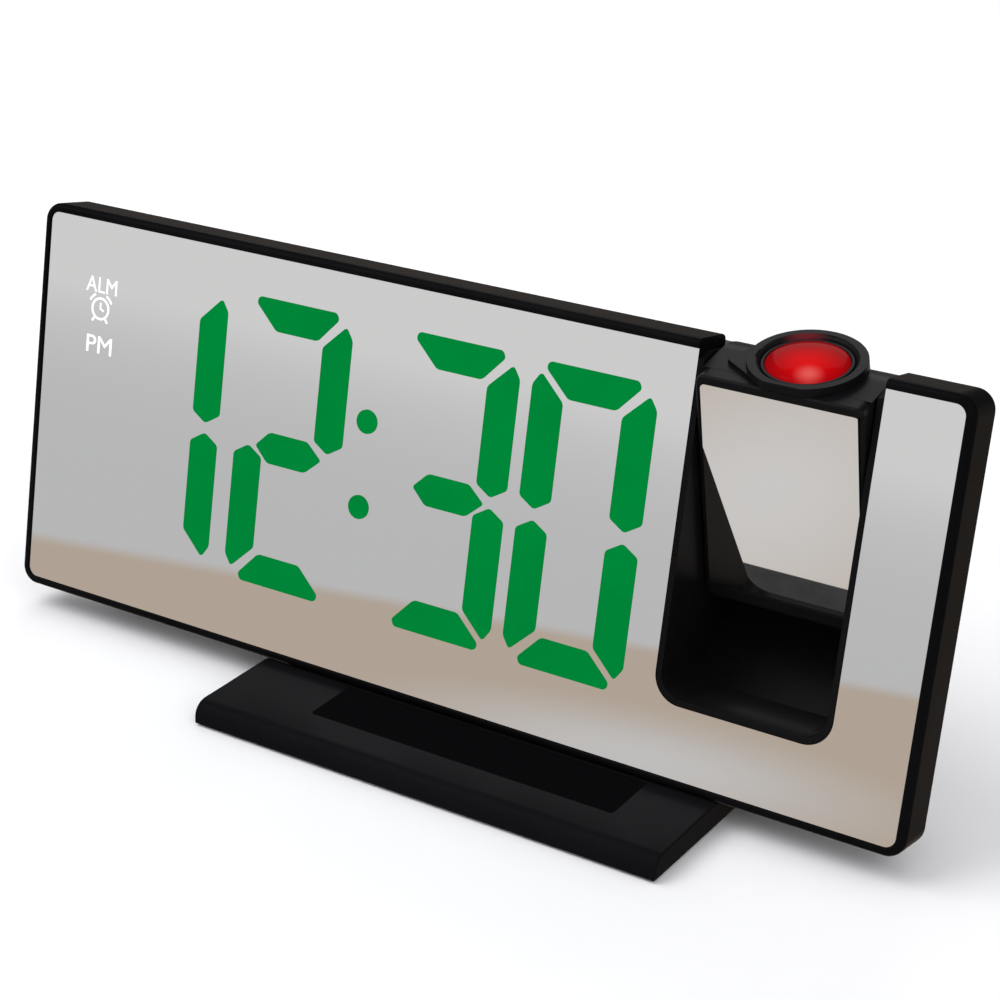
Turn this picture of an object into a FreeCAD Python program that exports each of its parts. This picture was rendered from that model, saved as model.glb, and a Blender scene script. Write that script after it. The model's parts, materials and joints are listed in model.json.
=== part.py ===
import FreeCAD, Part
import math
import os
import Sketcher
from types import SimpleNamespace
from FreeCAD import Placement, Rotation, Vector

# Projection alarm clock. The face frame has X to the right, Y into the body and Z up the face.
# Face pieces are drawn upright and leaned back by their Placement; head pieces are drawn about the pivot.

SIZES = (
    ("face_width", 187.0, "mirror panel, left to right"),
    ("face_height", 73.2, "mirror panel, bottom to top"),
    ("face_corner", 2.0, "mirror corner radius"),
    ("mirror_thick", 2.0, "mirror panel thickness"),
    ("rim", 1.6, "frame seen around the mirror"),
    ("rim_proud", 0.4, "frame stands in front of the mirror"),
    ("frame_corner", 3.5, "frame corner radius"),
    ("frame_depth", 9.5, "back of the frame behind the mirror's front"),
    ("frame_round", 1.3, "rounding of the frame's long edges"),
    ("ledge", 2.4, "ledge that carries the mirror"),
    ("seat_gap", 0.1, "gap around a seated piece"),
    ("lean", 10.0, "lean of the face, degrees"),
    ("face_lift", 6.6, "mirror's bottom edge above the table"),
    ("strip_width", 13.6, "mirror right of the notch"),
    ("notch_width", 32.6, "notch, left to right"),
    ("notch_bottom", 12.9, "notch bottom above the mirror's bottom"),
    ("notch_corner", 5.0, "notch corner radius"),
    ("liner_wall", 1.0, "pocket liner wall"),
    ("pocket_flat", 13.0, "depth of the pocket's level floor"),
    ("ramp_wall", 1.5, "thickness of the sloping pocket floor"),
    ("cover_flange", 2.5, "thin edge of the rear cover"),
    ("flange_inset", 2.1, "rear cover edge inside the frame edge"),
    ("bulge_side", 6.4, "rear bulge inside the cover edge, at the sides"),
    ("bulge_top", 1.6, "rear bulge inside the cover edge, at the top"),
    ("bulge_bottom", 6.6, "rear bulge inside the cover edge, at the bottom"),
    ("body_depth", 27.0, "back of the rear cover behind the mirror's front"),
    ("cover_wall", 2.0, "rear cover wall"),
    ("cover_round", 3.5, "rounding of the rear bulge"),
    ("pivot_height", 62.5, "head pivot above the mirror's bottom"),
    ("pivot_depth", 9.0, "head pivot behind the mirror's front"),
    ("pin_radius", 2.0, "pivot pin radius"),
    ("pin_reach", 3.2, "pivot pin inside the head"),
    ("pin_boss", 3.0, "pivot boss length outside the pocket"),
    ("pin_head", 0.9, "pivot pin head"),
    ("run_gap", 0.05, "radial gap of a turning fit"),
    ("head_angle", 21.7, "head turned from flush, degrees"),
    ("head_gap", 0.4, "gap between head and pocket wall"),
    ("head_front", 9.3, "head front before the pivot"),
    ("head_back", 9.3, "head back behind the pivot"),
    ("head_top", 11.3, "head top above the pivot"),
    ("head_border", 2.65, "head below its mirror"),
    ("head_wall", 1.5, "head shell wall"),
    ("bezel_depth", 3.0, "head bezel thickness"),
    ("head_round", 1.6, "rounding of the head's edges"),
    ("head_side", 0.7, "head beside its mirror"),
    ("head_mirror_height", 39.0, "head mirror height"),
    ("head_mirror_thick", 1.2, "head mirror thickness"),
    ("head_mirror_top", 9.75, "head mirror top above the pivot"),
    ("mirror_setback", 0.25, "head mirror behind its bezel"),
    ("lens_shift", 0.8, "lens axis right of the head's middle"),
    ("collar_height", 1.5, "collar above the head top"),
    ("collar_rim", 9.8, "collar outer radius at the crest"),
    ("collar_foot", 10.2, "collar outer radius at the foot"),
    ("collar_drop", 6.0, "collar foot below the head top"),
    ("collar_crest", 1.3, "flat crest of the collar"),
    ("collar_funnel", 0.8, "funnel inside the collar, crest to bore"),
    ("lens_sink", 0.6, "barrel top below the collar"),
    ("collar_bore", 7.65, "collar bore radius"),
    ("fairing_reach", 12.9, "fairing tip left of the lens axis"),
    ("fairing_front", 3.5, "fairing tip in front of the lens axis"),
    ("lens_radius", 6.9, "red lens radius"),
    ("lens_crown", 1.0, "red lens dome height"),
    ("barrel_wall", 1.2, "lens barrel wall"),
    ("barrel_length", 16.0, "lens barrel length"),
    ("core_width", 16.0, "projector core, square"),
    ("core_rise", 3.2, "projector core above the head's inner floor"),
    ("digit_inset", 20.3, "first digit right of the mirror's left edge"),
    ("digit_margin", 6.2, "last digit left of the notch"),
    ("digit_height", 53.8, "digit height"),
    ("digit_bottom", 11.9, "digit bottom above the mirror's bottom"),
    ("segment_wide", 6.25, "upright segment width"),
    ("segment_tall", 5.8, "level segment height"),
    ("segment_gap", 1.3, "gap between neighbouring segments"),
    ("upright_gap", 0.95, "half the gap between two uprights"),
    ("bar_drop", 0.6, "middle bar below the digit's middle"),
    ("first_space", 4.15, "space between the first two digits"),
    ("colon_space", 11.1, "space between the middle digits"),
    ("last_space", 2.6, "space between the last two digits"),
    ("colon_shift", 0.7, "colon left of the middle of its space"),
    ("dot_radius", 2.2, "colon dot radius"),
    ("light_thick", 0.15, "lit figures on the mirror"),
    ("reflector_depth", 4.0, "digit reflector thickness"),
    ("board_thick", 1.4, "circuit board thickness"),
    ("base_left", -33.4, "base left end"),
    ("base_width", 95.1, "base, left to right"),
    ("base_front", 21.2, "base front edge before the mirror"),
    ("base_back", 30.0, "base back edge behind the mirror"),
    ("base_front_height", 4.45, "base height at its front"),
    ("base_height", 5.0, "base height under the face"),
    ("base_round", 3.0, "rounding of the base's front edge"),
    ("foot_gap", 0.4, "table to the base's skirt"),
    ("pad_thick", 0.8, "non-slip pad thickness"),
    ("base_cover_thick", 1.5, "base cover thickness"),
    ("base_wall", 2.5, "base skirt around its cover"),
    ("saddle_left", -19.0, "saddle left end"),
    ("saddle_width", 62.0, "saddle, left to right"),
    ("snooze_width", 46.0, "snooze bar width"),
    ("snooze_depth", 7.0, "snooze bar, front to back"),
    ("snooze_proud", 0.9, "snooze bar above the cover"),
    ("key_width", 8.0, "rear key width"),
    ("key_height", 4.6, "rear key height"),
    ("key_proud", 1.1, "rear key out of the cover"),
    ("key_pitch", 13.0, "rear key pitch"),
    ("key_row", 55.5, "rear key row above the mirror's bottom"),
    ("key_first", 13.6, "first rear key inside the bulge's end"),
    ("key_gap", 0.3, "gap around a key"),
    ("key_travel", 0.6, "key travel"),
    ("door_width", 27.0, "battery door width"),
    ("door_height", 26.0, "battery door height"),
    ("door_left", 60.3, "battery door's left edge before the notch"),
    ("door_bottom", 17.0, "battery door bottom above the mirror's bottom"),
    ("door_thick", 1.4, "battery door thickness"),
    ("cell_radius", 10.0, "coin cell radius"),
    ("cell_thick", 3.2, "coin cell thickness"),
    ("speaker_radius", 10.0, "speaker radius"),
    ("inlet_x", 24.3, "power inlet before the notch"),
    ("usb_x", 13.3, "charging socket before the notch"),
    ("speaker_x", 28.6, "speaker inside the bulge's end"),
    ("speaker_z", 28.0, "speaker above the mirror's bottom"),
    ("speaker_thick", 5.0, "speaker thickness"),
    ("screw_shank", 1.1, "screw shank radius"),
    ("screw_head", 2.2, "screw head radius"),
    ("boss_radius", 3.0, "screw boss radius"),
    ("screw_in_x", 3.6, "screw inside the cover edge, sideways"),
    ("screw_in_z", 4.2, "screw inside the cover edge, up and down"),
    ("post_radius", 2.0, "board post radius"),
    ("main_board_width", 40.0, "main board, left to right"),
    ("main_board_height", 34.0, "main board, bottom to top"),
    ("main_board_gap", 4.0, "main board left of the battery door"),
    ("board_space", 4.0, "space between the boards"),
)

doc = FreeCAD.newDocument("ProjectionClock")
sheet = doc.addObject("Spreadsheet::Sheet", "Sizes")
for row, (alias, number, meaning) in enumerate(SIZES, 1):
    sheet.set(f"A{row}", meaning)
    sheet.set(f"B{row}", str(number))
    sheet.setAlias(f"B{row}", alias)
doc.recompute()


class Size:
    """A length that knows its number and the sheet expression that gives it."""

    def __init__(self, text, number):
        self.text = text
        self.number = number

    def __add__(self, other):
        return Size(f"({self.text} + {text_of(other)})", self.number + number_of(other))

    def __sub__(self, other):
        return Size(f"({self.text} - {text_of(other)})", self.number - number_of(other))

    def __mul__(self, other):
        return Size(f"({self.text} * {text_of(other)})", self.number * number_of(other))

    def __truediv__(self, other):
        return Size(f"({self.text} / {text_of(other)})", self.number / number_of(other))

    def __radd__(self, other):
        return Size(f"({text_of(other)} + {self.text})", number_of(other) + self.number)

    def __rsub__(self, other):
        return Size(f"({text_of(other)} - {self.text})", number_of(other) - self.number)

    def __rmul__(self, other):
        return Size(f"({text_of(other)} * {self.text})", number_of(other) * self.number)

    def __neg__(self):
        return Size(f"(-{self.text})", -self.number)


def text_of(value):
    if isinstance(value, Size):
        return value.text
    return f"({float(value)!r})"


def number_of(value):
    if isinstance(value, Size):
        return value.number
    return float(value)


S = SimpleNamespace(**{alias: Size(f"Sizes.{alias}", float(sheet.get(alias))) for alias, _, _ in SIZES})
SIDE = Vector(1, 0, 0)
FACE_PLACE = Placement(Vector(0, 0, S.face_lift.number), Rotation(SIDE, -S.lean.number))
PIVOT = Vector(0, S.pivot_depth.number, S.pivot_height.number)
HEAD_PLACE = FACE_PLACE.multiply(Placement(PIVOT, Rotation(SIDE, S.head_angle.number)))
WORLD_PLACE = Placement()
finished = []


# Parts in the Part workbench's way: primitives, cuts and fuses

def bind(piece, path, value):
    piece.setExpression(path, text_of(value))


def box(name, x, y, z):
    piece = doc.addObject("Part::Box", name)
    for side, span, axis in (("Length", x, "x"), ("Width", y, "y"), ("Height", z, "z")):
        low, high = span
        bind(piece, side, high - low if isinstance(high, Size) else -(low - high))
        bind(piece, f"Placement.Base.{axis}", low)
    return piece


TURN = {"x": Rotation(Vector(0, 1, 0), 90), "y": Rotation(SIDE, -90), "z": Rotation()}


def cylinder(name, radius, start, end, place, axis="y"):
    """place gives the two other coordinates, in X, Y, Z order."""
    piece = doc.addObject("Part::Cylinder", name)
    bind(piece, "Radius", radius)
    bind(piece, "Height", end - start if isinstance(end, Size) else -(start - end))
    piece.Placement = Placement(Vector(), TURN[axis])
    others = [letter for letter in "xyz" if letter != axis]
    bind(piece, f"Placement.Base.{axis}", start)
    for letter, value in zip(others, place):
        bind(piece, f"Placement.Base.{letter}", value)
    return piece


def cone(name, low_radius, high_radius, start, end, x, y):
    piece = doc.addObject("Part::Cone", name)
    bind(piece, "Radius1", low_radius)
    bind(piece, "Radius2", high_radius)
    bind(piece, "Height", end - start)
    bind(piece, "Placement.Base.x", x)
    bind(piece, "Placement.Base.y", y)
    bind(piece, "Placement.Base.z", start)
    return piece


def fuse(name, pieces):
    if len(pieces) == 1:
        return pieces[0]
    whole = doc.addObject("Part::MultiFuse", name)
    whole.Shapes = pieces
    whole.Refine = True
    return whole


def cut(name, base, tools):
    result = doc.addObject("Part::Cut", name)
    result.Base = base
    result.Tool = fuse(f"{name}_tools", tools)
    result.Refine = True
    return result


def common(name, first, second):
    result = doc.addObject("Part::MultiCommon", name)
    result.Shapes = [first, second]
    return result


def group(name, pieces):
    whole = doc.addObject("Part::Compound", name)
    whole.Links = pieces
    return whole


def round_edges(name, base, radius, wanted):
    doc.recompute()
    result = doc.addObject("Part::Fillet", name)
    result.Base = base
    size = number_of(radius)
    result.Edges = [(i, size, size) for i, edge in enumerate(base.Shape.Edges, 1) if wanted(edge)]
    return result


def finish(label, piece, place):
    """A primitive keeps its own bound place, so it is placed through a group."""
    if piece.TypeId in ("Part::Box", "Part::Cylinder"):
        piece = group(f"{label}_placed", [piece])
    piece.Label = label
    piece.Placement = place
    finished.append(piece)
    return piece


# Edge choices, made on the shape as it stands

def on_plane(axis, value):
    target = number_of(value)

    def test(edge):
        return all(abs(getattr(corner.Point, axis) - target) < 1e-4 for corner in edge.Vertexes)
    return test


def along(axis):
    def test(edge):
        if edge.Curve.TypeId != "Part::GeomLine":
            return False
        return abs(getattr(edge.tangentAt(edge.FirstParameter), axis)) > 0.999
    return test


def either(*tests):
    return lambda edge: any(test(edge) for test in tests)


def both(*tests):
    return lambda edge: all(test(edge) for test in tests)


# Parts in the PartDesign way: bodies, sketches and features

def new_body(name):
    return doc.addObject("PartDesign::Body", name)


def new_sketch(body, name, role, offset=0.0):
    sketch = body.newObject("Sketcher::SketchObject", name)
    plane = next(f for f in body.Origin.OriginFeatures if f.Role == role)
    sketch.AttachmentSupport = [(plane, "")]
    sketch.MapMode = "FlatFace"
    bind(sketch, ".AttachmentOffset.Base.z", offset)
    return sketch


def constrain(sketch, kind, *terms):
    """Adds one constraint; a size as the last term is bound to the sheet."""
    if isinstance(terms[-1], Size):
        index = sketch.addConstraint(Sketcher.Constraint(kind, *terms[:-1], terms[-1].number))
        sketch.setExpression(f"Constraints[{index}]", terms[-1].text)
    else:
        sketch.addConstraint(Sketcher.Constraint(kind, *terms))


def fix_point(sketch, geometry, end, x, y):
    constrain(sketch, "DistanceX", -1, 1, geometry, end, x)
    constrain(sketch, "DistanceY", -1, 1, geometry, end, y)


def draw_polygon(sketch, points):
    spots = [Vector(number_of(x), number_of(y), 0) for x, y in points]
    count = len(points)
    for i in range(count):
        sketch.addGeometry(Part.LineSegment(spots[i], spots[(i + 1) % count]), False)
    for i in range(count):
        constrain(sketch, "Coincident", i, 2, (i + 1) % count, 1)
    for i, (x, y) in enumerate(points):
        fix_point(sketch, i, 1, x, y)


def draw_rounded(sketch, x, y, corner):
    """A rectangle with four equal round corners; x and y are pairs."""
    left, right = (number_of(value) for value in x)
    low, high = (number_of(value) for value in y)
    r = number_of(corner)
    centres = ((left + r, low + r), (right - r, low + r), (right - r, high - r), (left + r, high - r))
    starts = (180, 270, 0, 90)
    first = sketch.GeometryCount
    for (cx, cy), start in zip(centres, starts):
        ring = Part.Circle(Vector(cx, cy, 0), Vector(0, 0, 1), r)
        arc = Part.ArcOfCircle(ring, math.radians(start), math.radians(start + 90))
        sketch.addGeometry(arc, False)
    for i in range(4):
        here = sketch.Geometry[first + i]
        after = sketch.Geometry[first + (i + 1) % 4]
        sketch.addGeometry(Part.LineSegment(here.EndPoint, after.StartPoint), False)
    for i in range(4):
        constrain(sketch, "Tangent", first + i, 2, first + 4 + i, 1)
        constrain(sketch, "Tangent", first + 4 + i, 2, first + (i + 1) % 4, 1)
    constrain(sketch, "Radius", first, corner)
    for i in (1, 2, 3):
        constrain(sketch, "Equal", first, first + i)
    fix_point(sketch, first, 3, x[0] + corner, y[0] + corner)
    fix_point(sketch, first + 2, 3, x[1] - corner, y[1] - corner)
    constrain(sketch, "Horizontal", first + 4)
    constrain(sketch, "Vertical", first + 5)


def draw_circle(sketch, x, y, radius):
    index = sketch.addGeometry(
        Part.Circle(Vector(number_of(x), number_of(y), 0), Vector(0, 0, 1), number_of(radius)), False)
    constrain(sketch, "Radius", index, radius)
    fix_point(sketch, index, 3, x, y)


def pad_back(body, name, draw, front, back):
    """A pad drawn on the face, filling front to back."""
    sketch = new_sketch(body, f"{name}_sketch", "XZ_Plane", -back)
    draw(sketch)
    pad = body.newObject("PartDesign::Pad", name)
    pad.Profile = sketch
    bind(pad, "Length", back - front)
    return pad


def pocket_back(body, name, draw, front, back):
    """A pocket drawn on the face, cut from front to back."""
    sketch = new_sketch(body, f"{name}_sketch", "XZ_Plane", -front)
    draw(sketch)
    pocket = body.newObject("PartDesign::Pocket", name)
    pocket.Profile = sketch
    bind(pocket, "Length", back - front)
    doc.recompute()
    return pocket


def pad_across(body, name, draw, left, right):
    """A pad drawn on the side view, filling left to right."""
    sketch = new_sketch(body, f"{name}_sketch", "YZ_Plane", left)
    draw(sketch)
    pad = body.newObject("PartDesign::Pad", name)
    pad.Profile = sketch
    bind(pad, "Length", right - left)
    return pad


def turned(body, name, points):
    """A solid turned about the body's own Z axis from (radius, height) points."""
    sketch = new_sketch(body, f"{name}_sketch", "XZ_Plane")
    draw_polygon(sketch, points)
    turn = body.newObject("PartDesign::Revolution", name)
    turn.Profile = sketch
    turn.ReferenceAxis = (sketch, ["V_Axis"])
    turn.Angle = 360
    return turn


def dress(body, name, radius, wanted):
    doc.recompute()
    base = body.Tip
    names = [f"Edge{i}" for i, edge in enumerate(base.Shape.Edges, 1) if wanted(edge)]
    fillet = body.newObject("PartDesign::Fillet", name)
    fillet.Base = (base, names)
    bind(fillet, "Radius", radius)
    return fillet


# Places that several parts share

HALF_FACE = S.face_width / 2
FRAME_X = (-HALF_FACE - S.rim, HALF_FACE + S.rim)
FRAME_Z = (-S.rim, S.face_height + S.rim)
FLANGE_X = (FRAME_X[0] + S.flange_inset, FRAME_X[1] - S.flange_inset)
FLANGE_Z = (FRAME_Z[0] + S.flange_inset, FRAME_Z[1] - S.flange_inset)
BULGE_X = (FLANGE_X[0] + S.bulge_side, FLANGE_X[1] - S.bulge_side)
BULGE_Z = (FLANGE_Z[0] + S.bulge_bottom, FLANGE_Z[1] - S.bulge_top)
FLANGE_BACK = S.frame_depth + S.cover_flange
COVER_INSIDE = S.body_depth - S.cover_wall
NOTCH_X = (HALF_FACE - S.strip_width - S.notch_width, HALF_FACE - S.strip_width)
LINER_X = (NOTCH_X[0] + S.seat_gap / 2, NOTCH_X[1] - S.seat_gap / 2)
LINER_FLOOR = S.notch_bottom + S.seat_gap / 2
POCKET_X = (LINER_X[0] + S.liner_wall, LINER_X[1] - S.liner_wall)
POCKET_FLOOR = LINER_FLOOR + S.liner_wall
HEAD_X = (POCKET_X[0] + S.head_gap, POCKET_X[1] - S.head_gap)
HEAD_MIDDLE = (HEAD_X[0] + HEAD_X[1]) / 2
LENS_X = HEAD_MIDDLE + S.lens_shift
MIRROR_X = (HEAD_X[0] + S.head_side, HEAD_X[1] - S.head_side)
MIRROR_Z = (S.head_mirror_top - S.head_mirror_height, S.head_mirror_top)
HEAD_BOTTOM = S.head_mirror_height - S.head_mirror_top + S.head_border
COLLAR_TOP = S.head_top + S.collar_height
BOARD_FRONT = S.mirror_thick + S.reflector_depth
ABOVE = S.face_height + 20
SCREW_SPOTS = [
    (FLANGE_X[0] + S.screw_in_x, FLANGE_Z[0] + S.screw_in_z),
    (FLANGE_X[0] + S.screw_in_x, FLANGE_Z[1] - S.screw_in_z),
    (FLANGE_X[1] - S.screw_in_x, FLANGE_Z[0] + S.screw_in_z),
    (FLANGE_X[1] - S.screw_in_x, FLANGE_Z[1] - S.screw_in_z),
]


def notch_tool(name, grow, front, back, corner):
    """The notch's outline, grown outwards by a gap, from front to back."""
    body = new_body(name)
    x = (NOTCH_X[0] - grow, NOTCH_X[1] + grow)
    z = (S.notch_bottom - grow, ABOVE)
    pad_back(body, f"{name}_pad", lambda sketch: draw_rounded(sketch, x, z, corner), front, back)
    return body


# The housing

def mirror_panel():
    body = new_body("mirror_body")
    x = (-HALF_FACE, HALF_FACE)
    z = (S.face_height * 0, S.face_height)
    pad_back(body, "mirror_pad", lambda s: draw_rounded(s, x, z, S.face_corner),
             S.mirror_thick * 0, S.mirror_thick)
    notch = notch_tool("mirror_notch", S.seat_gap * 0, -S.mirror_thick, S.mirror_thick * 2, S.notch_corner)
    finish("mirror_panel", cut("mirror", body, [notch]), FACE_PLACE)


def front_frame():
    body = new_body("frame_body")
    front = -S.rim_proud
    pad_back(body, "frame_pad", lambda s: draw_rounded(s, FRAME_X, FRAME_Z, S.frame_corner),
             front, S.frame_depth)
    dress(body, "frame_edges", S.frame_round,
          either(on_plane("y", front), on_plane("y", S.frame_depth)))
    panel_x = (-HALF_FACE - S.seat_gap / 2, HALF_FACE + S.seat_gap / 2)
    panel_z = (-S.seat_gap / 2, S.face_height + S.seat_gap / 2)
    pocket_back(body, "frame_seat", lambda s: draw_rounded(s, panel_x, panel_z, S.face_corner),
                front - 1, S.mirror_thick)
    open_x = (panel_x[0] + S.ledge, panel_x[1] - S.ledge)
    open_z = (panel_z[0] + S.ledge, panel_z[1] - S.ledge)
    pocket_back(body, "frame_opening", lambda s: draw_rounded(s, open_x, open_z, S.face_corner),
                S.mirror_thick - 1, S.frame_depth + 1)
    bosses = [cylinder(f"frame_boss_{i}", S.boss_radius, S.mirror_thick, S.frame_depth, spot)
              for i, spot in enumerate(SCREW_SPOTS)]
    tap = S.screw_shank + S.run_gap
    holes = [cylinder(f"frame_hole_{i}", tap, S.mirror_thick + 1, S.frame_depth + 1, spot)
             for i, spot in enumerate(SCREW_SPOTS)]
    notch = notch_tool("frame_notch", S.seat_gap / 2, -S.frame_depth, S.frame_depth * 2, S.notch_corner)
    whole = fuse("frame_fused", [body] + bosses)
    finish("front_frame", cut("frame", whole, holes + [notch]), FACE_PLACE)


def bulge(name, grow, front, back, corner):
    """The rear bulge, shrunk or grown evenly, tapering towards its back."""
    body = new_body(name)
    x = (BULGE_X[0] - grow, BULGE_X[1] + grow)
    z = (BULGE_Z[0] - grow, BULGE_Z[1] + grow)
    pad_back(body, f"{name}_pad", lambda s: draw_rounded(s, x, z, corner), front, back)
    return body


def key_spots():
    return [(BULGE_X[0] + S.key_first + S.key_pitch * i, S.key_row) for i in range(len(KEYS))]


KEYS = ("set_key", "alarm_key", "up_key", "down_key", "light_key", "projector_key")
SNOOZE_X = (-S.snooze_width / 2 - 12, S.snooze_width / 2 - 12)
SNOOZE_MIDDLE = (FLANGE_BACK + S.body_depth) / 2
SNOOZE_Y = (SNOOZE_MIDDLE - S.snooze_depth / 2, SNOOZE_MIDDLE + S.snooze_depth / 2)
DOOR_LEFT = NOTCH_X[0] - S.door_left
DOOR_X = (DOOR_LEFT, DOOR_LEFT + S.door_width)
DOOR_Z = (S.door_bottom, S.door_bottom + S.door_height)
DOOR_FLOOR = S.body_depth - S.door_thick - 0.1
CELL_X = (DOOR_X[0] + DOOR_X[1]) / 2
CELL_Z = (DOOR_Z[0] + DOOR_Z[1]) / 2
CELL_BACK = DOOR_FLOOR - 0.3
CELL_FRONT = CELL_BACK - S.cell_thick
JACK_X, JACK_Z = NOTCH_X[0] - S.inlet_x, S.door_bottom + 4
USB_X = NOTCH_X[0] - S.usb_x
SLOTS = 7
SPEAKER_X = BULGE_X[0] + S.speaker_x
KEY_STOP = COVER_INSIDE - 0.1
KEY_BOARD_BACK = KEY_STOP - 1.0 - S.key_travel - 2.2


def rear_cover():
    shell = fuse("cover_fused", [flange_plate(), bulge("cover_bulge", S.seat_gap * 0, S.frame_depth,
                                                      S.body_depth, S.cover_round * 2)])
    smooth = round_edges("cover_round_edges", shell, S.cover_round, on_plane("y", S.body_depth))
    hollow = bulge("cover_hollow", -S.cover_wall, S.frame_depth - 1, COVER_INSIDE, S.cover_round)
    tools = [hollow, notch_tool("cover_notch", S.seat_gap / 2, S.frame_depth - 1, S.body_depth + 5,
                                S.notch_corner)]
    pass_hole = S.screw_shank + 0.2
    for i, spot in enumerate(SCREW_SPOTS):
        tools.append(cylinder(f"cover_hole_{i}", pass_hole, S.frame_depth - 1, FLANGE_BACK + 1, spot))
    for i, (x, z) in enumerate(key_spots()):
        half_x, half_z = S.key_width / 2 + S.key_gap, S.key_height / 2 + S.key_gap
        tools.append(box(f"key_hole_{i}", (x - half_x, x + half_x), (COVER_INSIDE - 1, S.body_depth + 1),
                         (z - half_z, z + half_z)))
    gap = S.key_gap
    tools.append(box("snooze_hole", (SNOOZE_X[0] - gap, SNOOZE_X[1] + gap),
                     (SNOOZE_Y[0] - gap, SNOOZE_Y[1] + gap), (BULGE_Z[1] - 4, BULGE_Z[1] + 4)))
    tools.append(box("door_recess", (DOOR_X[0] - gap, DOOR_X[1] + gap), (DOOR_FLOOR, S.body_depth + 1),
                     (DOOR_Z[0] - gap, DOOR_Z[1] + gap)))
    tools.append(cylinder("cell_mouth", S.cell_radius + 0.5, COVER_INSIDE - 1, S.body_depth + 1,
                          (CELL_X, CELL_Z)))
    for i in range(SLOTS):
        rise = (i - (SLOTS - 1) / 2) * 2.4
        reach = math.sqrt(1 - (rise / 9.5) ** 2) * 8.0
        level_at = S.speaker_z + rise
        tools.append(box(f"grille_slot_{i}", (SPEAKER_X - reach, SPEAKER_X + reach),
                         (COVER_INSIDE - 1, S.body_depth + 1), (level_at - 0.6, level_at + 0.6)))
    tools.append(cylinder("jack_hole", S.boss_radius + 0.6, COVER_INSIDE - 1, S.body_depth + 1,
                          (JACK_X, JACK_Z)))
    tools.append(box("usb_hole", (USB_X - 3.6, USB_X + 3.6), (COVER_INSIDE - 1, S.body_depth + 1),
                     (JACK_Z - 6.6, JACK_Z + 6.6)))
    body = cut("cover", smooth, tools)
    well = cut("cell_well", cylinder("cell_well_out", S.cell_radius + 1.7, CELL_FRONT - 1.2, COVER_INSIDE,
                                     (CELL_X, CELL_Z)),
               [cylinder("cell_well_in", S.cell_radius + 0.5, CELL_FRONT, S.body_depth, (CELL_X, CELL_Z))])
    pillars = [cylinder(f"key_pillar_{i}", 1.2, KEY_BOARD_BACK, COVER_INSIDE + 0.5,
                        (key_spots()[i][0] + S.key_pitch / 2, S.key_row)) for i in (0, 2, 4)]
    finish("rear_cover", fuse("cover_whole", [body, well] + pillars), FACE_PLACE)


def flange_plate():
    body = new_body("flange_body")
    pad_back(body, "flange_pad", lambda s: draw_rounded(s, FLANGE_X, FLANGE_Z, S.frame_corner),
             S.frame_depth, FLANGE_BACK)
    dress(body, "flange_edges", 1.0, on_plane("y", FLANGE_BACK))
    return body


def pocket_liner():
    """A U-shaped channel with a level floor that turns up into a ramp and leaves at the back."""
    deep = S.body_depth
    reach = deep - S.pocket_flat
    top = BULGE_Z[1]
    outer = notch_tool("liner_outer", -S.seat_gap / 2, S.seat_gap * 0, deep, S.notch_corner)
    envelope = new_body("liner_envelope")
    lower = S.notch_bottom
    pad_across(envelope, "liner_envelope_pad", lambda s: draw_polygon(s, (
        (S.seat_gap * 0, lower), (S.pocket_flat + S.ramp_wall * 0.6, lower),
        (deep, lower + reach - S.ramp_wall * 0.6), (deep, top - S.cover_round),
        (deep - S.cover_round, top - 0.3), (FLANGE_BACK, top - 0.3),
        (FLANGE_BACK, FLANGE_Z[1]), (S.frame_round * 2, FLANGE_Z[1]),
        (S.seat_gap * 0, FLANGE_Z[1] - S.frame_round))), LINER_X[0], LINER_X[1])
    channel = new_body("liner_channel")
    pad_back(channel, "liner_channel_pad", lambda s: draw_rounded(
        s, POCKET_X, (POCKET_FLOOR, ABOVE), S.notch_corner - S.liner_wall), -S.liner_wall, deep + 1)
    slope = new_body("liner_slope")
    pad_across(slope, "liner_slope_pad", lambda s: draw_polygon(s, (
        (-S.liner_wall, POCKET_FLOOR - 1), (S.pocket_flat - 1, POCKET_FLOOR - 1),
        (S.pocket_flat, POCKET_FLOOR), (deep + 2, POCKET_FLOOR + reach + 2), (deep + 2, ABOVE + 1),
        (-S.liner_wall, ABOVE + 1))), POCKET_X[0], POCKET_X[1])
    walls = common("liner_walls", outer, envelope)
    hollow = common("liner_hollow", channel, slope)
    holes = cylinder("liner_pin_holes", S.pin_radius + S.run_gap, NOTCH_X[0] - 5, NOTCH_X[1] + 5,
                     (S.pivot_depth, S.pivot_height), "x")
    finish("pocket_liner", cut("liner", walls, [hollow, holes]), FACE_PLACE)


def housing_screws():
    screws = []
    for i, spot in enumerate(SCREW_SPOTS):
        shank = cylinder(f"screw_shank_{i}", S.screw_shank, S.mirror_thick + 1.5, FLANGE_BACK, spot)
        head = cylinder(f"screw_head_{i}", S.screw_head, FLANGE_BACK, FLANGE_BACK + 1.2, spot)
        screws.append(fuse(f"screw_{i}", [shank, head]))
    finish("housing_screws", group("screws", screws), FACE_PLACE)


# The display

DIGITS = ("bc", "abged", "abgcd", "abcdef")
DIGIT_ROOM = NOTCH_X[0] + HALF_FACE - S.digit_inset - S.digit_margin
DIGIT_WIDTH = (DIGIT_ROOM - S.first_space - S.colon_space - S.last_space) / 4


def digit_lefts():
    first = S.digit_inset - HALF_FACE
    second = first + DIGIT_WIDTH + S.first_space
    third = second + DIGIT_WIDTH + S.colon_space
    return (first, second, third, third + DIGIT_WIDTH + S.last_space)


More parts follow.
